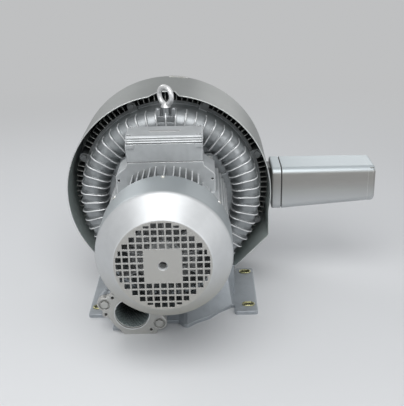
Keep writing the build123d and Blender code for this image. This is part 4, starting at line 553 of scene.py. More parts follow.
@dataclass(frozen=True)
class Machined(Finish):
    """Bare steel or aluminium turned round the shaft, with fine tool marks."""

    pitch: float = 9000.0
    stains: float = 0.25
    rounding: float = 0.0005

    def surface(self, graph: Graph) -> tuple[object, ...]:
        """The values that the finish gives to its shader."""
        marks = (graph.radius() + graph.axes()[1] * 0.7).wave(self.pitch)
        stain = graph.noise(34.0, 4.0, 0.65).ramp(0.46, 0.72)
        shade = graph.mix(stain * self.stains, self.colour, self.toned(0.5))
        shade = graph.mix(marks * 0.12, shade, self.toned(1.25))
        rough = marks * 0.08 + stain * 0.22 + self.roughness
        return shade, rough, 1.0, marks, 0.00002, self.rounding


@dataclass(frozen=True)
class Moulded(Finish):
    """Moulded plastic, rubber or fibre sheet with a fine eroded texture."""

    grain: float = 900.0
    depth: float = 0.00008
    dust: float = 0.15
    rounding: float = 0.0007

    def surface(self, graph: Graph) -> tuple[object, ...]:
        """The values that the finish gives to its shader."""
        grain = graph.noise(self.grain, 2.0, 0.5)
        cloud = graph.noise(24.0, 3.0, 0.6).ramp(0.4, 0.7)
        top = graph.normal_share(2).ramp(0.2, 1.0)
        pale = tuple(c * 0.6 + 0.28 for c in self.colour)
        shade = graph.mix((cloud * 0.5 + top * 0.5) * self.dust, self.colour, pale)
        shade = graph.mix(grain.ramp(0.35, 0.7) * 0.25, shade, self.toned(0.75))
        rough = grain * 0.12 + cloud * 0.10 + (self.roughness - 0.1)
        return shade, rough, 0.0, grain, self.depth, self.rounding


@dataclass(frozen=True)
class OpenFoam(Finish):
    """Open-cell foam, with a dark pore in each cell."""

    pores: float = 520.0
    dust: Colour = (0.2, 0.2, 0.19)

    def surface(self, graph: Graph) -> tuple[object, ...]:
        """The values that the finish gives to its shader."""
        walls = graph.cells(self.pores, True).ramp(0.02, 0.16)
        cloud = graph.noise(30.0, 3.0)
        shade = graph.mix(walls, self.toned(1.9), self.toned(0.35))
        shade = graph.mix(cloud.ramp(0.4, 0.7) * 0.3, shade, self.dust)
        return shade, self.roughness, 0.0, 1.0 - walls, 0.0009, 0.0, {"Sheen Weight": 0.25}


@dataclass(frozen=True)
class StackedSheet(Finish):
    """Punched core sheets stacked along the shaft, varnished."""

    pitch: float = 6280.0
    varnish: Colour = (0.16, 0.09, 0.05)

    def surface(self, graph: Graph) -> tuple[object, ...]:
        """The values that the finish gives to its shader."""
        lines = graph.axes()[1].wave(self.pitch)
        stain = graph.noise(40.0, 4.0, 0.6).ramp(0.45, 0.7)
        shade = graph.mix(lines * 0.45, self.colour, self.toned(0.4))
        shade = graph.mix(stain * 0.4, shade, self.varnish)
        rough = lines * 0.15 + stain * 0.2 + (self.roughness - 0.1)
        return shade, rough, 0.85, lines, 0.00015


@dataclass(frozen=True)
class Windings(Finish):
    """Varnished copper wire laid in bundles round the shaft."""

    pitch: float = 5200.0
    varnish: Colour = (0.30, 0.08, 0.02)

    def surface(self, graph: Graph) -> tuple[object, ...]:
        """The values that the finish gives to its shader."""
        wires = (graph.radius() * 0.9 + graph.axes()[1] * 0.6).wave(self.pitch)
        lay = graph.noise(26.0, 2.0, 0.5)
        shade = graph.mix(wires, self.toned(0.35), self.colour)
        shade = graph.mix(lay.ramp(0.5, 0.7) * 0.3, shade, self.varnish)
        rough = wires * -0.15 + self.roughness
        return shade, rough, 0.7, wires, 0.0006, 0.0, {"Coat Weight": 0.5}


class Look(Enum):
    """The finishes of the blower: one for each slot, by the slot's name, and the new pieces' own."""

    CAST_CASING = CasingPaint("cast_silver", (0.32, 0.338, 0.348), 0.38, metallic=0.7, mottle=0.12, wear=0.5)
    RING_EDGE = CastPaint("cast_ring_edge", (0.42, 0.42, 0.40), 0.40, metallic=0.4, mottle=0.2, wear=0.2)
    # Painted highlight: the rib edge beads are painted far paler than the casing, standing in for the light
    # along the rib edges.
    RIB_EDGE = CastPaint("cast_edge_painted_highlight", (0.72, 0.735, 0.74), 0.30, metallic=0.55, mottle=0.06, wear=0.2)
    BASE_PAINT = BasePaint("cast_base_grey", (0.36, 0.39, 0.415), 0.44, metallic=0.3, mottle=0.06, wear=0.35)
    FRAME_PAINT = CastPaint("cast_frame_grey", (0.455, 0.475, 0.485), 0.44, metallic=0.4, mottle=0.06,
                            wear=0.9, rounding=0.0016)
    # Painted highlight: fin tips, ear edges, lid ridges and the inlet mouth are painted paler than the frame,
    # for the light along them.
    FIN_EDGE = CastPaint("cast_fin_painted_highlight", (0.66, 0.68, 0.685), 0.34, metallic=0.45, mottle=0.05, wear=0.2)
    FLANGE = CastPaint("cast_flange_grey", (0.45, 0.45, 0.43), 0.40, metallic=0.4, mottle=0.06, wear=0.9,
                       rounding=0.0016)
    COWL_PAINT = CowlPaint("cowl_silver", (0.60, 0.615, 0.625), 0.50, metallic=0.75, streak=(1.0, 1.0, 1.0),
                           strength=0.04, wear=0.3, scuff=0.05)
    SHROUD_PAINT = DrumPaint("shroud_grey", (0.25, 0.262, 0.255), 0.42, metallic=0.3, strength=0.10, wear=0.6)
    # Painted highlight: the shroud's rolled rim and the inlet tube's edge are painted far paler than the
    # shroud, for the light along them.
    SHROUD_RIM = SheetPaint("shroud_rim", (0.62, 0.64, 0.63), 0.32, metallic=0.5, strength=0.08, wear=0.3)
    SILENCER_PAINT = ToppedPaint("silencer_silver", (0.31, 0.305, 0.29), 0.42, metallic=0.5,
                                 streak=(0.2, 6.0, 1.0), strength=0.05, scuff=0.06)
    ZINC = Plated("zinc_plated", (0.72, 0.72, 0.71), 0.32, tint=(0.72, 0.71, 0.63))
    EYE_STEEL = Plated("eye_steel", (0.72, 0.725, 0.73), 0.40, tint=(0.72, 0.72, 0.70), metallic=0.6)
    PLAIN_STEEL = Machined("turned_steel", (0.58, 0.58, 0.58), 0.26)
    BEARING_STEEL = Machined("ground_steel", (0.72, 0.72, 0.73), 0.12, stains=0.08)
    CORE_SHEET = StackedSheet("core_sheets", (0.36, 0.36, 0.38), 0.45)
    WINDING = Windings("copper_windings", (0.72, 0.34, 0.15), 0.42)
    IMPELLER_METAL = CastPaint("cast_bare", (0.66, 0.67, 0.68), 0.40, metallic=0.95, wear=0.3)
    CAGE_METAL = IMPELLER_METAL
    FAN_PLASTIC = Moulded("fan_grey", (0.40, 0.41, 0.41), 0.48, dust=0.3)
    TERMINAL_PLASTIC = Moulded("moulded_black", (0.035, 0.035, 0.038), 0.45)
    STUD_BRASS = Plated("plain_brass", (0.80, 0.60, 0.26), 0.28, tint=(0.72, 0.50, 0.22))
    RUBBER = Moulded("black_rubber", (0.022, 0.022, 0.023), 0.62, grain=600.0)
    GASKET = Moulded("fibre_sheet", (0.06, 0.06, 0.062), 0.8, grain=300.0, depth=0.0002)
    FOAM = OpenFoam("open_foam", (0.085, 0.088, 0.09), 0.95)
    LINER_METAL = SheetPaint("perforated_sheet", (0.32, 0.40, 0.40), 0.40, metallic=0.5, wear=0.4)
    INLET_MESH = InletPaint("inlet_sheet", (0.46, 0.55, 0.55), 0.40, metallic=0.5, wear=0.4)
    COLLAR = Plated("olive_zinc", (0.40, 0.39, 0.20), 0.26, tint=(0.60, 0.58, 0.38))
    PLATE = SheetPaint("bare_plate", (0.52, 0.53, 0.535), 0.38, metallic=0.7, streak=(0.05, 8.0, 1.0),
                       strength=0.06, wear=0.9)


NODE_LOOKS: dict[str, Look] = {
    "inlet_flange": Look.FLANGE,
    "inlet_bolts": Look.FLANGE,
    "casing_bolts": Look.CAST_CASING,
}


class Recipe(Nodes):
    """A Geometry Nodes tree with named inputs."""

    SOCKETS = {int: "NodeSocketInt", float: "NodeSocketFloat", type(None): "NodeSocketMaterial"}

    def __init__(self, name: str, inputs: dict[str, float | int | None]) -> None:
        """Starts a tree.

        Args:
            name: The tree's name.
            inputs: The first value of each named input, or None for a material.
        """
        super().__init__(bpy.data.node_groups.new(name, "GeometryNodeTree"))
        ports = self.tree.interface
        ports.new_socket("Geometry", in_out="INPUT", socket_type="NodeSocketGeometry")
        self.names: dict[str, str] = {}
        for label, value in inputs.items():
            port = ports.new_socket(label, in_out="INPUT", socket_type=self.SOCKETS[type(value)])
            if value is not None:
                port.default_value = value
            self.names[label] = port.identifier
        ports.new_socket("Geometry", in_out="OUTPUT", socket_type="NodeSocketGeometry")
        self.inlet = self.tree.nodes.new("NodeGroupInput")
        self.outlet = self.tree.nodes.new("NodeGroupOutput")

    def port(self, label: str) -> Wire:
        """The value of a named input."""
        return Wire(self, self.inlet.outputs[label])

    def drawn(self) -> Wire:
        """The mesh that the recipe runs on, as a curve."""
        return self.node("GeometryNodeMeshToCurve", None, {0: self.port("Geometry")})

    def bead(self, path: Wire) -> Wire:
        """A round bead swept along a curve, by the inputs Sides and Bead Radius."""
        size = {"Resolution": self.port("Sides"), "Radius": self.port("Bead Radius")}
        section = self.node("GeometryNodeCurvePrimitiveCircle", None, size)
        inputs = {"Curve": path, "Profile Curve": section, "Fill Caps": True}
        return self.node("GeometryNodeCurveToMesh", None, inputs)

    def close(self, result: Wire, smooth: bool = True) -> "Recipe":
        """Ends the tree in real geometry with its material.

        Args:
            result: The geometry.
            smooth: Whether faces are shaded smooth.

        Returns:
            The recipe.
        """
        real = self.node("GeometryNodeRealizeInstances", None, {"Geometry": result})
        shaded = self.node("GeometryNodeSetShadeSmooth", None, {"Geometry": real, "Shade Smooth": smooth})
        coat = {"Geometry": shaded, "Material": self.port("Material")}
        coated = self.node("GeometryNodeSetMaterial", None, coat)
        self.tree.links.new(coated.socket, self.outlet.inputs[0])
        return self

    def bake(self, name: str, source: bpy.types.Mesh, values: dict[str, object]) -> bpy.types.Object:
        """Runs the tree on a mesh and keeps the result as a plain mesh.

        Args:
            name: The new object's name.
            source: The mesh that the tree starts from.
            values: A value for each named input that isn't left as it is.

        Returns:
            The new object, with no modifier.
        """
        draft = bpy.data.objects.new(name + "_draft", source)
        bpy.context.scene.collection.objects.link(draft)
        modifier = draft.modifiers.new("recipe", "NODES")
        modifier.node_group = self.tree
        for label, value in values.items():
            modifier[self.names[label]] = value
        view = bpy.context.evaluated_depsgraph_get()
        mesh = bpy.data.meshes.new_from_object(draft.evaluated_get(view), depsgraph=view)
        draft.modifiers.remove(modifier)
        bpy.data.objects.remove(draft)
        mesh.name = name
        made = bpy.data.objects.new(name, mesh)
        bpy.context.scene.collection.objects.link(made)
        return made


BEAD_INPUTS: dict[str, float | int | None] = {"Bead Radius": 0.002, "Sides": 8, "Material": None}


def bead_copies() -> Recipe:
    """A bead along a drawn path, copied round the shaft or upwards, but not where a lug stands.

    Returns:
        The recipe. Its path is a chain of edges, with the shaft at z = 0 where it is copied round.
    """
    sizes = {"Count": 1, "First Angle": 0.0, "Step": 0.0, "Rise": 0.0, "Lug Step": 1.0, "Lug Clearance": -1.0}
    recipe = Recipe("bead_copies", {**sizes, **BEAD_INPUTS})
    index, lug_step = recipe.node("GeometryNodeInputIndex"), recipe.port("Lug Step")
    angle = index * recipe.port("Step") + recipe.port("First Angle")
    off = (recipe.sum("FLOORED_MODULO", angle, lug_step) - lug_step * 0.5).size()
    test = {"data_type": "FLOAT", "operation": "GREATER_EQUAL"}
    place = recipe.spot(Z=index * recipe.port("Rise"))
    copies = {
        "Points": recipe.node("GeometryNodePoints", None, {"Count": recipe.port("Count"), "Position": place}),
        "Selection": recipe.node("FunctionNodeCompare", test, {0: off, 1: recipe.port("Lug Clearance")}),
        "Instance": recipe.bead(recipe.drawn()),
        "Rotation": recipe.spot(Y=angle * -1.0),
    }
    return recipe.close(recipe.node("GeometryNodeInstanceOnPoints", None, copies))


def fin_tips() -> Recipe:
    """Beads on the tips of parallel fins, which stand up, down and to both sides of a round frame.

    Returns:
        The recipe, which makes its own mesh with the frame's axis along Y at z = 0.
    """
    sizes = {"Fins Each Side": 5, "First Offset": 0.02, "Pitch": 0.0135, "Tip Radius": 0.142}
    recipe = Recipe("fin_tips", {**sizes, "Front": -0.2, "Back": 0.0, **BEAD_INPUTS})
    index, tip = recipe.node("GeometryNodeInputIndex"), recipe.port("Tip Radius")
    each = recipe.port("Fins Each Side") * 2 + 1
    place = recipe.sum("FLOORED_MODULO", index, each) - recipe.port("Fins Each Side")
    offset = place.math("SIGN") * ((place.size() - 1) * recipe.port("Pitch") + recipe.port("First Offset"))
    out = (tip * tip - offset * offset).math("SQRT")
    turn = (index / each).math("FLOOR") * (pi / 2)
    cosine, sine = turn.math("COSINE"), turn.math("SINE")
    spot = recipe.spot(X=cosine * out - sine * offset, Z=sine * out + cosine * offset)
    points = recipe.node("GeometryNodePoints", None, {"Count": each * 4, "Position": spot})
    ends = {"Start": recipe.spot(Y=recipe.port("Front")), "End": recipe.spot(Y=recipe.port("Back"))}
    bead = recipe.bead(recipe.node("GeometryNodeCurvePrimitiveLine", None, ends))
    copies = {"Points": points, "Instance": bead}
    return recipe.close(recipe.node("GeometryNodeInstanceOnPoints", None, copies))


def perforated_tube() -> Recipe:
    """A tube of sheet with staggered rows of round holes.

    Returns:
        The recipe, which makes its own mesh along Z from z = 0.
    """
    sizes = {"Radius": 0.04, "Length": 0.1, "Sheet": 0.0015, "Around": 40, "Rows": 20, "Hole Share": 0.62}
    recipe = Recipe("perforated_tube", {**sizes, "Material": None})
    around, rows, radius = (recipe.port(label) for label in ("Around", "Rows", "Radius"))
    joined = {"Distance": 1e-5}
    flat = {"Size X": 1.0, "Size Y": 1.0, "Vertices X": around + 1, "Vertices Y": rows + 1}
    grid = recipe.node("GeometryNodeMeshGrid", None, flat)
    cut = recipe.node("GeometryNodeExtrudeMesh", None, {"Mesh": grid, "Offset Scale": 0.0})
    holes = {"Selection": Wire(recipe, cut.socket.node.outputs["Top"])}
    size = {"Scale": recipe.port("Hole Share")}
    shrunk = recipe.node("GeometryNodeScaleElements", None, {"Geometry": cut, **holes, **size})
    open_grid = recipe.node("GeometryNodeDeleteGeometry", {"domain": "FACE"}, {"Geometry": shrunk, **holes})
    sewn = recipe.node("GeometryNodeMergeByDistance", None, {"Geometry": open_grid, **joined})
    fine = recipe.node("GeometryNodeSubdivisionSurface", None, {"Mesh": sewn, "Level": 1})
    along, across, _ = recipe.parts(recipe.node("GeometryNodeInputPosition"))
    lift = across + 0.5
    angle = (along + lift * rows * 0.5 / around) * (2 * pi)
    x, y = angle.math("COSINE") * radius, angle.math("SINE") * radius
    spot = recipe.spot(X=x, Y=y, Z=lift * recipe.port("Length"))
    rolled = recipe.node("GeometryNodeSetPosition", None, {"Geometry": fine, "Position": spot})
    sealed = recipe.node("GeometryNodeMergeByDistance", None, {"Geometry": rolled, **joined})
    push = {"Mesh": sealed, "Offset Scale": recipe.port("Sheet"), "Individual": False}
    outer = recipe.node("GeometryNodeExtrudeMesh", None, push)
    inner = recipe.node("GeometryNodeFlipFaces", None, {"Mesh": sealed})
    both = recipe.node("GeometryNodeJoinGeometry", None, {"Geometry": [outer, inner]})
    whole = recipe.node("GeometryNodeMergeByDistance", None, {"Geometry": both, **joined})
    return recipe.close(whole, False)


def chain(points: Iterable[Point] = (), closed: bool = False) -> bpy.types.Mesh:
    """A path as a mesh of edges.

    Args:
        points: The path's points.
        closed: Whether its last point joins its first.

    Returns:
        The mesh.
    """
    places = list(points)
    edges = [(i, i + 1) for i in range(len(places) - 1)]
    if closed:
        edges.append((len(places) - 1, 0))
    mesh = bpy.data.meshes.new("path")
    mesh.from_pydata(places, edges, [])
    return mesh


def arc(centre: Spot, radius: float, start: float, end: float, steps: int) -> list[Spot]:
    """Points along an arc.

    Args:
        centre: Its centre.
        radius: Its radius.
        start: The first angle, in degrees.
        end: The last angle, in degrees.
        steps: How many points it has.

    Returns:
        The points.
    """
    turns = [radians(start + (end - start) * step / (steps - 1)) for step in range(steps)]
    return [(centre[0] + radius * cos(turn), centre[1] + radius * sin(turn)) for turn in turns]


def flat(line: Iterable[Spot], depth: float) -> list[Point]:
    """A line drawn across the shaft, put at a place along Y."""
    return [(x, depth, z) for x, z in line]


def circle(centre: Spot, radius: float, steps: int) -> list[Spot]:
    """Points round a whole circle, of which the last isn't the first again."""
    return arc(centre, radius, 0.0, 360.0 - 360.0 / steps, steps)


def rounded_path(corners: Sequence[Spot], reach: float) -> list[Spot]:
    """A line through corners, each cut by a short curve.

    Args:
        corners: The corners, of which the first and last are kept sharp.
        reach: How far before and after a corner its curve starts and ends.

    Returns:
        The points.
    """
    places = [Vector(corner) for corner in corners]
    line = [tuple(places[0])]
    for before, corner, after in zip(places, places[1:], places[2:]):
        start = corner + (before - corner).normalized() * reach
        end = corner + (after - corner).normalized() * reach
        for share in (0.0, 0.25, 0.5, 0.75, 1.0):
            line.append(tuple(start.lerp(corner, share).lerp(corner.lerp(end, share), share)))
    line.append(tuple(places[-1]))
    return line


@dataclass(frozen=True)
class Lamp:
    """A soft round lamp."""

    name: str
    place: Point
    target: Point
    size: float
    power: float

    def hang(self) -> None:
        """Hangs the lamp, turned to its target."""
        data = bpy.data.lights.new(self.name, "AREA")
        data.shape = "DISK"
        data.size = self.size
        data.energy = self.power
        made = bpy.data.objects.new(self.name, data)
        away = Vector(self.place) - Vector(self.target)
        made.matrix_world = Matrix.Translation(self.place) @ away.to_track_quat("Z", "X").to_matrix().to_4x4()
        bpy.context.scene.collection.objects.link(made)


@dataclass
class Studio:
    """The camera, the lamps and the pale floor."""

    eye: Point = (0.1003, -1.6727, 0.9575)
    pitch: float = 0.396
    yaw: float = -0.013
    roll: float = -0.027
    focus_px: float = 709.1
    tall_px: float = 406.0
    sensor: float = 36.0
    lamps: tuple[Lamp, ...] = (
        Lamp("key", (-0.10, -1.35, 2.10), (0.0, -0.1, 0.28), 2.3, 41.0),
        Lamp("fill", (1.9, -1.5, 0.9), (0.05, 0.0, 0.25), 1.5, 10.0),
        Lamp("low", (-1.7, -1.4, 0.6), (-0.1, 0.1, 0.25), 1.3, 2.5),
        Lamp("back", (-1.3, 1.5, 1.6), (0.0, 0.0, 0.35), 1.2, 12.0),
        Lamp("rear", (1.1, 2.3, 1.15), (0.35, 0.1, 0.30), 1.5, 6.0),
    )
    sky: Colour = (0.92, 0.95, 1.0)
    sky_strength: float = 0.30
    pale: Colour = (0.93, 0.94, 0.95)
    pale_strength: float = 0.56
    pale_from: float = 0.5
    pale_to: float = 2.6
    floor_colour: Colour = (0.74, 0.75, 0.76)
    floor_roughness: float = 0.75
    floor_half: float = 30.0

    def camera(self) -> None:
        """Sets the camera as the photograph's was."""
        data = bpy.data.cameras.new("photo_camera")
        data.sensor_width = self.sensor
        data.lens = self.focus_px * self.sensor / self.tall_px
        made = bpy.data.objects.new("photo_camera", data)
        level = cos(self.pitch)
        ahead = Vector((sin(self.yaw) * level, cos(self.yaw) * level, -sin(self.pitch)))
        right = Vector((cos(self.yaw), -sin(self.yaw), 0.0))
        up = right.cross(ahead)
        right_rolled = right * cos(self.roll) + up * sin(self.roll)
        up_rolled = up * cos(self.roll) - right * sin(self.roll)
        turn = Matrix((right_rolled, up_rolled, -ahead)).transposed().to_4x4()
        made.matrix_world = Matrix.Translation(self.eye) @ turn
        bpy.context.scene.collection.objects.link(made)
        bpy.context.scene.camera = made

    def room(self) -> None:
        """Sets the room's own light, and the pale background that the camera, metal and glass see."""
        world = bpy.data.worlds.new("room")
        world.use_nodes = True
        nodes = Nodes(world.node_tree)
        nodes.tree.nodes.clear()
        sky = nodes.light("ShaderNodeBackground", self.sky, self.sky_strength)
        pale = nodes.light("ShaderNodeBackground", self.pale, self.pale_strength)
        shown = nodes.node("ShaderNodeMixShader", None, {0: nodes.seen(), 1: sky, 2: pale})
        nodes.end("ShaderNodeOutputWorld", shown)
        bpy.context.scene.world = world

    def floor(self) -> None:
        """Lays the floor, which stays pale beyond the reach of the lamps and keeps its shadows near them."""
        mesh = bpy.data.meshes.new("floor")
        half = self.floor_half
        corners = [(-half, -half, 0), (half, -half, 0), (half, half, 0), (-half, half, 0)]
        mesh.from_pydata(corners, [], [(0, 1, 2, 3)])
        made = bpy.data.objects.new("floor", mesh)
        graph = Graph("floor_pale")
        lit = graph.shader(self.floor_colour, self.floor_roughness, 0.0)
        pale = graph.light("ShaderNodeEmission", self.pale, self.pale_strength)
        across, along, _ = graph.axes()
        far = (across * across + along * along).power(0.5).ramp(self.pale_from, self.pale_to)
        shown = graph.node("ShaderNodeMixShader", None, {0: far * graph.seen(), 1: lit, 2: pale})
        graph.end("ShaderNodeOutputMaterial", shown)
        mesh.materials.append(graph.material)
        bpy.context.scene.collection.objects.link(made)

    def build(self) -> None:
        """Sets up the whole studio."""
        self.camera()
        for lamp in self.lamps:
            lamp.hang()
        self.room()
        self.floor()
        bpy.context.scene.view_settings.view_transform = "Standard"


@dataclass(frozen=True)
class Piece:
    """What every new piece has."""

    name: str
    look: Look
    slot: str
    instead_of: tuple[str, ...] = ()


class Workshop:
    """The finishes and recipes that the sub-assemblies share."""

    TO_SHAFT = Matrix.Translation((0.0, 0.0, SHAFT_Z))
    AS_DRAWN = Matrix()

    def __init__(self) -> None:
        """Makes the recipes."""
        self.paints: dict[Look, bpy.types.Material] = {}
        self.beads = bead_copies()
        self.fin_tips = fin_tips()
        self.perforated = perforated_tube()

    def coat(self, thing: bpy.types.Object, look: Look) -> None:
        """Gives an object one finish on every slot, made on its first use."""
        if look not in self.paints:
            self.paints[look] = look.value.material()
        slots = thing.data.materials
        if not len(slots):
            slots.append(None)
        for index in range(len(slots)):
            slots[index] = self.paints[look]

    def add(
        self,
        piece: Piece,
        recipe: Recipe,
        path: bpy.types.Mesh,
        values: dict[str, float | int],
        place: Matrix = TO_SHAFT,
    ) -> None:
        """Makes a piece, finishes it and fixes it to the body that stands still.

        Args:
            piece: The piece.
            recipe: The recipe that makes it.
            path: The mesh that the recipe runs on.
            values: The recipe's named inputs.
            place: Where it goes, which for a piece drawn round z = 0 is the shaft.
        """
        made = recipe.bake(piece.name, path, values)
        made.data.transform(place)
        self.coat(made, piece.look)
        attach(made, STILL)
        if piece.instead_of:
            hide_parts(*piece.instead_of)
        LOG.info("%s: %d faces", made.name, len(made.data.polygons))


@dataclass
class Casings:
    """Cast casings: the rounded edges of their ribs and fins."""

    shop: Workshop
    channel_r: float = 0.191
    tube_out: float = 0.034
    rib_height: float = 0.005
    rib_corner: float = 0.018
    rib_back: Spot = (0.004, 0.008)
    channel_y: float = 0.007
    mirror_y: float = 0.080
    rib_count: int = 56
    rib_first: float = 90.7
    rib_bead: float = 0.0016
    fin_tip: float = 0.2496
    fin_root: float = 0.233
    fin_count: int = 108
    fin_y: Spot = (0.066, 0.098)
    fin_bead: float = 0.0013
    lug_count: int = 8
    lug_reach: float = 0.0132
    sides: int = 6

    def rib_path(self) -> list[Point]:
        """The crest of one rib at the shaft's +X side.

        Returns:
            Its points, with the shaft at z = 0.
        """
        inner, outer = self.channel_r - self.tube_out, self.channel_r + self.tube_out
        crest = self.channel_y - self.tube_out - self.rib_height
        bend = crest + self.rib_corner
        line = [(inner, self.channel_y - self.rib_back[0]), (inner, bend)]
        line += arc((inner + self.rib_corner, bend), self.rib_corner, 180, 270, 5)[1:]
        line += arc((outer - self.rib_corner, bend), self.rib_corner, 270, 360, 5)
        line += [(outer, self.channel_y + self.rib_back[1])]
        return [(radius, depth, 0.0) for radius, depth in line]

    def ribs(self) -> None:
        """Rounds the ribs' edges on both casings."""
        values = {
            "Count": self.rib_count,
            "First Angle": radians(self.rib_first),
            "Step": 2 * pi / self.rib_count,
            "Bead Radius": self.rib_bead,
            "Sides": self.sides,
        }
        front = self.rib_path()
        rear = [(x, 2 * self.mirror_y - y, z) for x, y, z in front]
        for name, path in (("front_rib_edges", front), ("rear_rib_edges", rear)):
            self.shop.add(Piece(name, Look.RIB_EDGE, "cast_casing"), self.shop.beads, chain(path), values)

    def fins(self) -> None:
        """Rounds the edges of the middle casing's fins."""
        values = {
            "Count": self.fin_count,
            "First Angle": pi / self.fin_count,
            "Step": 2 * pi / self.fin_count,
            "Bead Radius": self.fin_bead,
            "Sides": self.sides,
            "Lug Step": 2 * pi / self.lug_count,
            "Lug Clearance": self.lug_reach / self.fin_root,
        }
        front, back = self.fin_y
        corners = ((self.fin_root, front), (self.fin_tip, front), (self.fin_tip, back), (self.fin_root, back))
        path = chain([(radius, depth, 0.0) for radius, depth in corners])
        self.shop.add(Piece("ring_fin_edges", Look.RING_EDGE, "cast_casing"), self.shop.beads, path, values)

    def build(self) -> None:
        """Builds every piece of the casings."""
        self.ribs()
        self.fins()


@dataclass
class Base:
    """The plated collars round the slots of the foot plates."""

    shop: Workshop
    slot_x: float = 0.192
    slot_y: float = 0.088
    straight: float = 0.0065
    radius: float = 0.0065
    foot_top: float = 0.010
    bead: float = 0.0021
    sides: int = 10

    def build(self) -> None:
        """Lays a rounded collar round each slot."""
        reach = self.radius + self.bead * 0.8
        height = self.foot_top + self.bead * 0.35
        values = {"Bead Radius": self.bead, "Sides": self.sides}
        for side_x, side in ((-1, "left"), (1, "right")):
            for side_y, end in ((-1, "front"), (1, "rear")):
                x, y = side_x * self.slot_x, side_y * self.slot_y
                loop = arc((x + self.straight, y), reach, -90, 90, 11)
                loop += arc((x - self.straight, y), reach, 90, 270, 11)
                path = chain([(px, py, height) for px, py in loop], closed=True)
                piece = Piece(f"slot_collar_{side}_{end}", Look.COLLAR, "zinc")
                self.shop.add(piece, self.shop.beads, path, values, self.shop.AS_DRAWN)


@dataclass
class Motor:
    """The finned motor frame: the rounded tips of its fins and the edges of its two ears."""

    shop: Workshop
    fins_each_side: int = 5
    first_offset: float = 0.0205
    pitch: float = 0.0135
    fin_r: float = 0.142
    front: float = -0.2455
    back: float = -0.0105
    bead: float = 0.0017
    ear_line: tuple[Spot, ...] = (
        (0.0853, 0.1505), (0.0873, 0.1398), (0.1113, 0.1207), (0.1113, 0.0775), (0.0975, 0.0625),
    )
    ear_front: float = -0.1713
    ear_corner: float = 0.004
    ear_bead: float = 0.0013

    def fins(self) -> None:
        """Rounds the tips of the frame's fins."""
        values = {
            "Fins Each Side": self.fins_each_side,
            "First Offset": self.first_offset,
            "Pitch": self.pitch,
            "Tip Radius": self.fin_r - self.bead * 0.7,
            "Front": self.front,
            "Back": self.back,
            "Bead Radius": self.bead,
        }
        piece = Piece("frame_fin_tips", Look.FIN_EDGE, "frame_paint")
        self.shop.add(piece, self.shop.fin_tips, chain(), values)

    def ears(self) -> None:
        """Rounds the front edges of the two ears beside the terminal box."""
        line = rounded_path(self.ear_line, self.ear_corner)
        for side, name in ((-1, "left"), (1, "right")):
            path = chain(flat([(side * x, z) for x, z in line], self.ear_front))
            piece = Piece(f"ear_edge_{name}", Look.FIN_EDGE, "frame_paint")
            self.shop.add(piece, self.shop.beads, path, {"Bead Radius": self.ear_bead})

    def build(self) -> None:
        """Builds every piece of the motor."""
        self.fins()
        self.ears()


@dataclass
class TerminalBox:
    """The rounded ridges round the rim of the terminal box's lid."""

    shop: Workshop
    corner: float = 0.005
    inset: float = 0.0007
    first_up: float = 0.0019
    spacing: float = 0.0056
    ridges_up: int = 3
    bead: float = 0.0016

    def build(self) -> None:
        """Rounds the lid's ridges."""
        low, high = (Vector(corner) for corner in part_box("terminal_lid"))
        left, right = low.x + self.corner, high.x - self.corner
        front, back = low.y + self.corner, high.y - self.corner
        corners = ((right, back, 0), (left, back, 90), (left, front, 180), (right, front, 270))
        inner = self.corner - self.inset
        loop = [spot for x, y, turn in corners for spot in arc((x, y), inner, turn, turn + 90, 5)]
        path = chain([(x, y, low.z + self.first_up) for x, y in loop], closed=True)
        values = {"Count": self.ridges_up, "Rise": self.spacing, "Bead Radius": self.bead}
        piece = Piece("lid_ridges", Look.FIN_EDGE, "frame_paint")
        self.shop.add(piece, self.shop.beads, path, values, self.shop.AS_DRAWN)


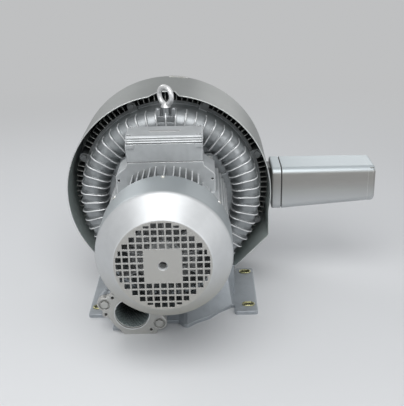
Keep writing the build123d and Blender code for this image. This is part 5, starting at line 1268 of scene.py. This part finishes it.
@dataclass
class Shroud:
    """The rolled edge round the mouth of the shroud, and the beads in its back."""

    shop: Workshop
    middle_x: float = -0.005
    sheet_r: float = 0.259
    foot_x: float = 0.161
    foot_z: float = -0.211
    side_x: float = 0.2495
    bulge_z: float = -0.120
    corner: float = 0.009
    front: float = 0.008
    notch_wide: Spot = (-0.046, 0.030)
    notch_narrow: Spot = (-0.022, 0.018)
    notch_depth: float = 0.040
    bead: float = 0.0014
    back: float = 0.2126
    back_rings: Spot = (0.106, 0.227)
    back_bead: float = 0.0022
    back_steps: int = 96

    def angle_at(self, x: float) -> float:
        """The angle, in degrees, at which the top of the sheet passes a place along X."""
        return degrees(acos((x - self.middle_x) / self.sheet_r))

    def bow(self, start: float, end: float, steps: int) -> list[Point]:
        """Points along the sheet's front edge between two angles."""
        return flat(arc((self.middle_x, 0.0), self.sheet_r, start, end, steps), self.front)

    def notch(self) -> list[Point]:
        """The two inner corners of the notch behind the lifting eye."""
        deep = self.front + self.notch_depth
        inner = [self.bow(self.angle_at(x), 0.0, 2)[0] for x in self.notch_narrow]
        return [(x, deep, z) for x, _, z in inner]

    def bulge(self) -> list[Point]:
        """The edge down the side and round the bulge to the base."""
        turn = atan2(self.side_x - self.foot_x, self.bulge_z - self.foot_z)
        reach = self.corner * tan(turn / 2)
        bend = arc((self.side_x - self.corner, self.bulge_z + reach), self.corner, 0.0, -degrees(turn), 5)
        return flat([*bend, (self.foot_x, self.foot_z)], self.front)

    def rim(self) -> None:
        """Rolls the front edge."""
        left, right = (self.angle_at(x) for x in self.notch_wide)
        path = self.bow(360.0 - self.angle_at(-self.foot_x), left, 44) + self.notch()
        path += self.bow(right, -self.angle_at(self.side_x), 32) + self.bulge()
        piece = Piece("shroud_rim", Look.SHROUD_RIM, "shroud_paint")
        self.shop.add(piece, self.shop.beads, chain(path), {"Bead Radius": self.bead})

    def back_beads(self) -> None:
        """Presses two round beads into the back, inside and outside its vents."""
        for radius, name in zip(self.back_rings, ("inner", "outer")):
            loop = flat(circle((0.0, 0.0), radius, self.back_steps), self.back)
            piece = Piece(f"shroud_back_bead_{name}", Look.SHROUD_PAINT, "shroud_paint")
            self.shop.add(piece, self.shop.beads, chain(loop, closed=True), {"Bead Radius": self.back_bead})

    def build(self) -> None:
        """Builds every piece of the shroud."""
        self.rim()
        self.back_beads()


@dataclass
class Liners:
    """The perforated tubes inside the inlet and the side silencer, and the inlet's edges."""

    shop: Workshop
    sheet: float = 0.0015
    fine_pitch: float = 0.0072
    coarse_pitch: float = 0.0062
    hole_share: float = 0.66
    edge_bead: float = 0.0013
    edge_steps: int = 64

    def tube(self, piece: Piece, turn: Matrix, pitch: float) -> None:
        """Replaces a plain liner by one with rows of holes, in the same place and size.

        Args:
            piece: The new piece, which stands for the liner's node.
            turn: The turn that takes +Z to the way that the liner lies.
            pitch: The spacing of its holes.
        """
        low, high = (Vector(corner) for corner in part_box(piece.instead_of[0]))
        ahead = turn @ Vector((0.0, 0.0, 1.0))
        start = Vector([a if way > 0.5 else (a + b) / 2 for a, b, way in zip(low, high, ahead)])
        radius = (high.z - low.z) / 2 - self.sheet
        length = (high - low).dot(ahead)
        values = {
            "Radius": radius,
            "Length": length,
            "Sheet": self.sheet,
            "Around": round(2 * pi * radius / pitch),
            "Rows": round(length / pitch),
            "Hole Share": self.hole_share,
        }
        self.shop.add(piece, self.shop.perforated, chain(), values, Matrix.Translation(start) @ turn)

    def edges(self) -> None:
        """Rounds the mouth of the inlet and the front edge of its tube."""
        low, high = (Vector(corner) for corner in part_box("inlet_liner"))
        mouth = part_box("inlet_flange")[0][1] + self.edge_bead * 0.4
        radius = (high.z - low.z) / 2 - self.sheet + self.edge_bead * 0.3
        whole = circle(((low.x + high.x) / 2, (low.z + high.z) / 2), radius, self.edge_steps)
        for piece, y in (
            (Piece("inlet_mouth_edge", Look.FIN_EDGE, "frame_paint"), mouth),
            (Piece("inlet_tube_edge", Look.SHROUD_RIM, "liner_metal"), low.y),
        ):
            path = chain(flat(whole, y), closed=True)
            self.shop.add(piece, self.shop.beads, path, {"Bead Radius": self.edge_bead}, self.shop.AS_DRAWN)

    def build(self) -> None:
        """Builds both tubes and the inlet's edges."""
        self.edges()
        inlet = Piece("inlet_mesh", Look.INLET_MESH, "liner_metal", ("inlet_liner",))
        silencer = Piece("silencer_mesh", Look.LINER_METAL, "liner_metal", ("silencer_liner",))
        self.tube(inlet, Matrix.Rotation(-pi / 2, 4, "X"), self.fine_pitch)
        self.tube(silencer, Matrix.Rotation(pi / 2, 4, "Y"), self.coarse_pitch)


def dress_nodes(shop: Workshop, frame: dict) -> None:
    """Gives each carried-over node the finish of its slot.

    Args:
        shop: The shared finishes.
        frame: The loaded frame.
    """
    for part in frame["record"]["subparts"]:
        node, slot = part["node"], part["material_slot"]
        shop.coat(frame["nodes"][node], NODE_LOOKS.get(node, Look[slot.upper()]))


def main() -> None:
    """Builds the whole scene."""
    logging.basicConfig(level=logging.INFO, format="%(name)s: %(message)s")
    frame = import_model()
    Studio().build()
    shop = Workshop()
    dress_nodes(shop, frame)
    for assembly in (Casings(shop), Base(shop), Motor(shop), TerminalBox(shop), Shroud(shop), Liners(shop)):
        assembly.build()


if __name__ == "__main__":
    main()
